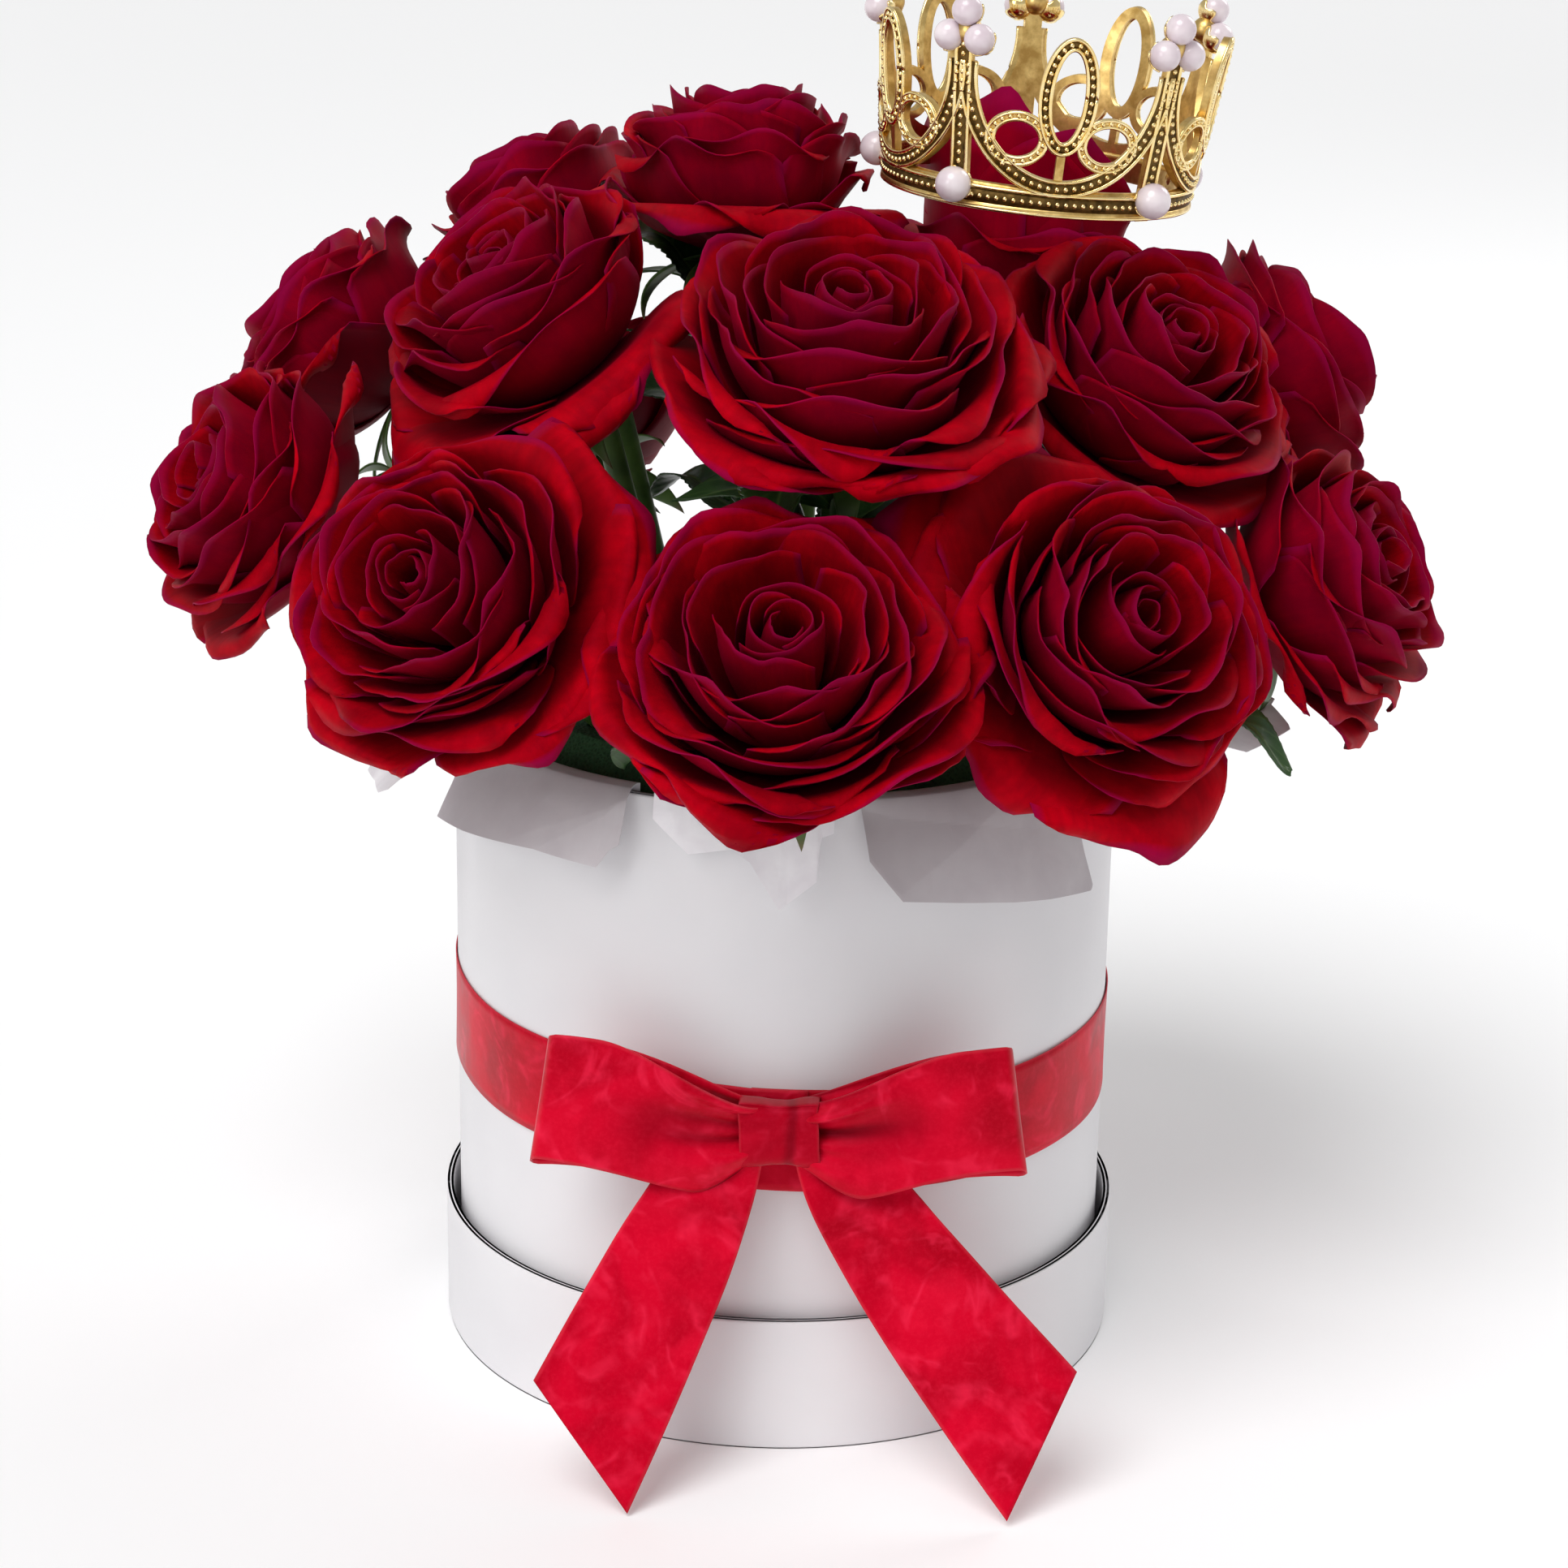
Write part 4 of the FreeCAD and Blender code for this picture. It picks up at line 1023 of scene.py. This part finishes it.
# The leaves left on the stems of the four roses that stay put: sprays of blades set a short stalk's
# length out from the stem, in the space under the blooms.
blades, stalk, wide_share = 9, 0.003, 0.58
for number in (6, 8, 12, 13):
    random = np.random.default_rng(700 + number)
    node = f"rose_{number:02d}_stem"
    end, knee = stem_line(node, node.replace("_stem", "_bloom"))[:2]
    base = end + (knee - end) * np.linspace(0.55, 0.93, blades)[:, None]
    turn = np.arange(blades) * math.radians(137.5) + random.uniform(0, 2 * math.pi)
    along = unit(np.stack([np.cos(turn), np.sin(turn), random.uniform(0.15, 0.75, blades)], -1))
    over = unit(np.cross(along, np.cross([0.0, 0.0, 1.0], along)))
    over = unit(over + 0.35 * np.cross(along, over) * random.uniform(-1, 1, blades)[:, None])
    length = random.uniform(0.030, 0.044, blades)
    spray = leaf_piece(f"rose_{number:02d}_leaves", base + along * stalk, along, over, length,
                       length * wide_share)
    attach(spray, body_of_node(node))

# ---- Crown ----
# A small gilt crown laid on the back roses: one metal casting with five uprights and lace panels
# between them. Its straps have polished rims each side of a darker recess with a row of beads, and
# its pearls are glued into small cups.
gold = Finish("antique_gold", Metallic=1.0, Roughness=0.3)
age = gold.noise(260.0, 4.0, 0.6)
gold.feed(Base_Color=gold.tint(age, 0.35, 0.65, (0.50, 0.31, 0.09), (0.86, 0.62, 0.24)),
          Roughness=gold.spread(age, 0.3, 0.7, 0.42, 0.26))
gold.bump(age, 0.15, 0.0003)
gold.cover("crown_frame")
bright_gold = Finish("polished_gold", Metallic=1.0, Roughness=0.2)
rub = bright_gold.noise(320.0, 3.0, 0.5)
bright_gold.feed(Base_Color=bright_gold.tint(rub, 0.3, 0.7, (0.90, 0.66, 0.25), (1.0, 0.83, 0.46)),
                 Roughness=bright_gold.spread(rub, 0.3, 0.7, 0.14, 0.28))
bright_gold.bump(rub, 0.08, 0.0002)
dark_gold = Finish("gold_recess", Metallic=1.0, Roughness=0.5)
tarnish = dark_gold.noise(500.0, 3.0, 0.6)
dark_gold.feed(Base_Color=dark_gold.tint(tarnish, 0.3, 0.7, (0.05, 0.03, 0.01), (0.22, 0.13, 0.04)))
dark_gold.bump(tarnish, 0.2, 0.0002)
pearl = Finish("pearl_lacquer", Roughness=0.24, Coat_Weight=0.6, Coat_Roughness=0.12, Specular_IOR_Level=0.5,
               Sheen_Weight=0.25, Sheen_Tint=(0.95, 0.75, 0.85, 1.0))
bloom_tint = pearl.noise(160.0, 2.0, 0.5)
pearl.feed(Base_Color=pearl.tint(bloom_tint, 0.35, 0.65, (0.66, 0.55, 0.60), (0.82, 0.74, 0.76)))
pearl.bump(bloom_tint, 0.03, 0.0004)
pearl.cover("crown_pearls")

# The crown's own axes: its lift is their third, and the middle of its foot their origin.
crown_axis = np.array(next(j["axis"] for j in frame["joints"] if j["name"] == "crown_lift"))
lean = math.atan2(crown_axis[0], crown_axis[2])
crown_turn = np.array([[math.cos(lean), 0.0, -math.sin(lean)], [0.0, 1.0, 0.0], crown_axis]).T
metal = node_points("crown_frame") @ crown_turn
foot_ring = metal[metal[:, 2] < metal[:, 2].min() + 0.0012, :2]
crown_at = crown_turn @ np.append((foot_ring.min(0) + foot_ring.max(0)) / 2, metal[:, 2].min())

base_radius, tip_radius, crown_tall = 0.0355, 0.0405, 0.039
casting, ring_tall, rim_round = 0.0017, 0.006, 0.001
strap_wide, swag_wide, swag_below_tip = 0.004, 0.0036, 0.0055
loop_wide, loop_half_wide, loop_half_tall, loop_above_tip = 0.0027, 0.0052, 0.012, 0.001
uprights, first_azimuth = 5, math.radians(-33.0)
step = 2 * math.pi / uprights
recess_proud = 0.00005


def flare_at(height):
    """Radius of the crown's middle surface at a height, a straight line from its foot to its tips."""
    return base_radius + (tip_radius - base_radius) * height / crown_tall


def on_crown(x, z, azimuth, proud):
    """Points of a flat panel laid on the flared outside, proud of the casting's middle, at an azimuth."""
    radius = flare_at(z) + casting / 2 + proud
    y = -np.sqrt(np.maximum(radius ** 2 - x ** 2, 0.0))
    cosine, sine = math.cos(azimuth), math.sin(azimuth)
    return np.stack([x * cosine - y * sine, x * sine + y * cosine, z + 0.0 * x], -1)


def ring_at(height, proud):
    """A level circle round the outside of the crown."""
    turn = np.linspace(0.0, 2 * math.pi, 181)
    radius = flare_at(height) + casting / 2 + proud
    return np.stack([radius * np.cos(turn), radius * np.sin(turn), np.full_like(turn, height)], -1)


def recess_on(x, z, azimuth, half):
    """Rows of points either side of a line on the crown's outside: the floor of the recess."""
    way = unit(np.stack([np.gradient(x), np.gradient(z)], -1))
    return np.stack([on_crown(x - way[:, 1] * wide, z + way[:, 0] * wide, azimuth, recess_proud)
                     for wide in (-half, 0.0, half)], 1)


def spaced(line, pitch):
    """Points evenly spaced along a line, a pitch apart."""
    run = np.concatenate([[0.0], np.cumsum(np.linalg.norm(np.diff(line, axis=0), axis=1))])
    count = max(2, int(run[-1] / pitch))
    at = (np.arange(count) + 0.5) / count * run[-1]
    return np.stack([np.interp(at, run, line[:, k]) for k in range(3)], -1)


def crown_piece(name, points, faces, finish, weld=True):
    """A piece given in the crown's own axes, set in its place, and carried by the crown."""
    piece = mesh_piece(name, points @ crown_turn.T + crown_at, faces, finish, weld=weld)
    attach(piece, "crown")


swag_top = crown_tall - swag_below_tip
swag_depth = swag_top - ring_tall - swag_wide / 2 + rim_round
half_span = flare_at(0.6 * crown_tall) * math.sin(step / 2)
loop_middle = crown_tall + loop_above_tip - loop_half_tall
scroll_wide, scroll_half_tall, scroll_above_loop_foot = 0.0019, 0.0052, 0.0015
scroll_middle = loop_middle - loop_half_tall + scroll_above_loop_foot
loop_x = loop_half_wide * math.sqrt(1 - ((loop_middle - scroll_middle) / loop_half_tall) ** 2)
swag_x = half_span * math.sqrt(1 - ((swag_top - scroll_middle) / swag_depth) ** 2)
scroll_half_wide = (swag_x - loop_x - swag_wide) / 2
scroll_across = (swag_x + loop_x) / 2

# Each curved strap of a lace panel: the half width and half height of its curve, its middle, where it
# starts, its points, how far its rims lie from its middle line, how far rims and beads stand proud,
# and half the width of its recess, where it has one.
straps = [
    (half_span, swag_depth, 0.0, swag_top, math.pi, 49, swag_wide * 0.44, 0.0001, 0.00015, swag_wide * 0.34),
    (loop_half_wide, loop_half_tall, 0.0, loop_middle, 0.0, 73, loop_wide * 0.425, 0.0003, 0.0003,
     loop_wide * 0.30),
    *((scroll_half_wide, scroll_half_tall, hand * scroll_across, scroll_middle, 0.0, 73, scroll_wide * 0.40,
       0.00005, 0.00005, 0.0) for hand in (-1, 1)),
]
rim_proud, row_proud, strap_rim_share, strap_recess_share = 0.0001, 0.00015, 0.46, 0.36
wires, rows, floors = [], [], []
for k in range(uprights):
    azimuth = first_azimuth + k * step
    z = np.linspace(ring_tall * 0.9, crown_tall - 0.001, 24)
    for side in (-1, 1):
        x = np.full_like(z, side * strap_wide * strap_rim_share)
        wires.append(on_crown(x, z, azimuth, rim_proud))
    rows.append(on_crown(np.zeros_like(z), z, azimuth, row_proud))
    fine = np.linspace(z[0], z[-1], 97)
    floors.append(recess_on(np.zeros(97), fine, azimuth, strap_wide * strap_recess_share))
    for wide, tall, across, middle, start, count, offset, proud, bead_proud, recess_half in straps:
        turn = np.linspace(start, 2 * math.pi, count)
        for rim in (-offset, offset):
            wires.append(on_crown(across + (wide + rim) * np.cos(turn), middle + (tall + rim) * np.sin(turn),
                                  azimuth + step / 2, proud))
        rows.append(on_crown(across + wide * np.cos(turn), middle + tall * np.sin(turn), azimuth + step / 2,
                             bead_proud))
        if recess_half:
            fine = np.linspace(start, 2 * math.pi, 97)
            floors.append(recess_on(across + wide * np.cos(fine), middle + tall * np.sin(fine),
                                    azimuth + step / 2, recess_half))
row_height, row_half, rim_inset = ring_tall * 0.55, 0.0015, 0.0006
rows.append(ring_at(row_height, 0.0))
wires.extend(ring_at(height, rim_proud) for height in (rim_inset, ring_tall - rim_inset))
ring_floor = [ring_at(row_height + side * row_half, recess_proud) for side in (-1, 0, 1)]

recess_thick, rim_radius = 0.00012, 0.00048
crown_piece("crown_recess", *thin_shell(np.stack(floors), recess_thick), dark_gold)
crown_piece("crown_ring_recess", *thin_shell(np.stack(ring_floor, 1)[None], recess_thick), dark_gold)
rims = [rod(line, np.full(len(line), rim_radius), 8) for line in wires]
crown_piece("crown_rims", *joined(rims), bright_gold)

bead_radius, bead_pitch = 0.00068, 0.0020
spots = np.concatenate([spaced(line, bead_pitch) for line in rows])
polar = np.linspace(0.0, math.pi, 5)[:, None]
turn = np.linspace(0.0, 2 * math.pi, 6, endpoint=False)[None, :]
ball = np.stack([np.sin(polar) * np.cos(turn), np.sin(polar) * np.sin(turn), np.cos(polar) + 0.0 * turn], -1)
ball = ball.reshape(-1, 3)
ball_faces = grid_faces(5, 6, wrap_columns=True)[:, ::-1]
points = spots[:, None] + ball * bead_radius
faces = ball_faces[None] + (np.arange(len(spots)) * len(ball))[:, None, None]
crown_piece("crown_beads", points.reshape(-1, 3), faces.reshape(-1, 4), bright_gold)


def islands(mesh, points):
    """
    A label for each point of a mesh, the same for all that its edges join: each takes the lowest label
    next to it, again and again until none changes. Points in the same place count as one.
    """
    same = np.unique(np.round(points / 1e-5).astype(np.int64), axis=0, return_inverse=True)[1].ravel()
    links = np.zeros(len(mesh.edges) * 2, np.int32)
    mesh.edges.foreach_get("vertices", links)
    links = same[links.reshape(-1, 2)]
    label = np.arange(same.max() + 1)
    while True:
        lowest = label[links].min(1)
        update = label.copy()
        np.minimum.at(update, links[:, 0], lowest)
        np.minimum.at(update, links[:, 1], lowest)
        update = update[update]
        if np.array_equal(update, label):
            return label[same]
        label = update


# Each pearl sits in a small cup with five points, which opens away from the crown's middle.
cup_outside, cup_inside = 0.00042, 0.00006
local = (node_points("crown_pearls") - crown_at) @ crown_turn
label = islands(frame["nodes"]["crown_pearls"].data, local)
turn = np.linspace(0.0, 2 * math.pi, 30, endpoint=False)[None, :]
polar = np.linspace(0.02, 1.0, 8)[:, None] * (math.radians(58) + math.radians(13) * np.cos(5 * turn))
ring = np.stack([-np.cos(polar), np.sin(polar) * np.cos(turn), np.sin(polar) * np.sin(turn)], -1)
cups = []
for own in (local[label == k] for k in np.unique(label)):
    centre = (own.min(0) + own.max(0)) / 2
    radius = (own.max(0) - own.min(0)).mean() / 2
    outward = unit(centre * [1.0, 1.0, 0.0])
    if centre[2] > ring_tall * 2:
        outward = unit(outward * 0.55 + unit(centre - [0.0, 0.0, crown_tall * 0.9]) * 0.3 + [0.0, 0.0, 0.35])
    other = unit(np.cross(outward, np.array([0.1, 0.2, 0.97])))
    skin = ring @ np.array([outward, other, np.cross(outward, other)])
    outer, inner = centre + skin * (radius + cup_outside), centre + skin * (radius + cup_inside)
    points = np.concatenate([outer, inner[::-1]])
    cups.append((points.reshape(-1, 3), grid_faces(len(points), 30, wrap_rows=True, wrap_columns=True)))
crown_piece("crown_cups", *joined(cups), bright_gold, weld=False)
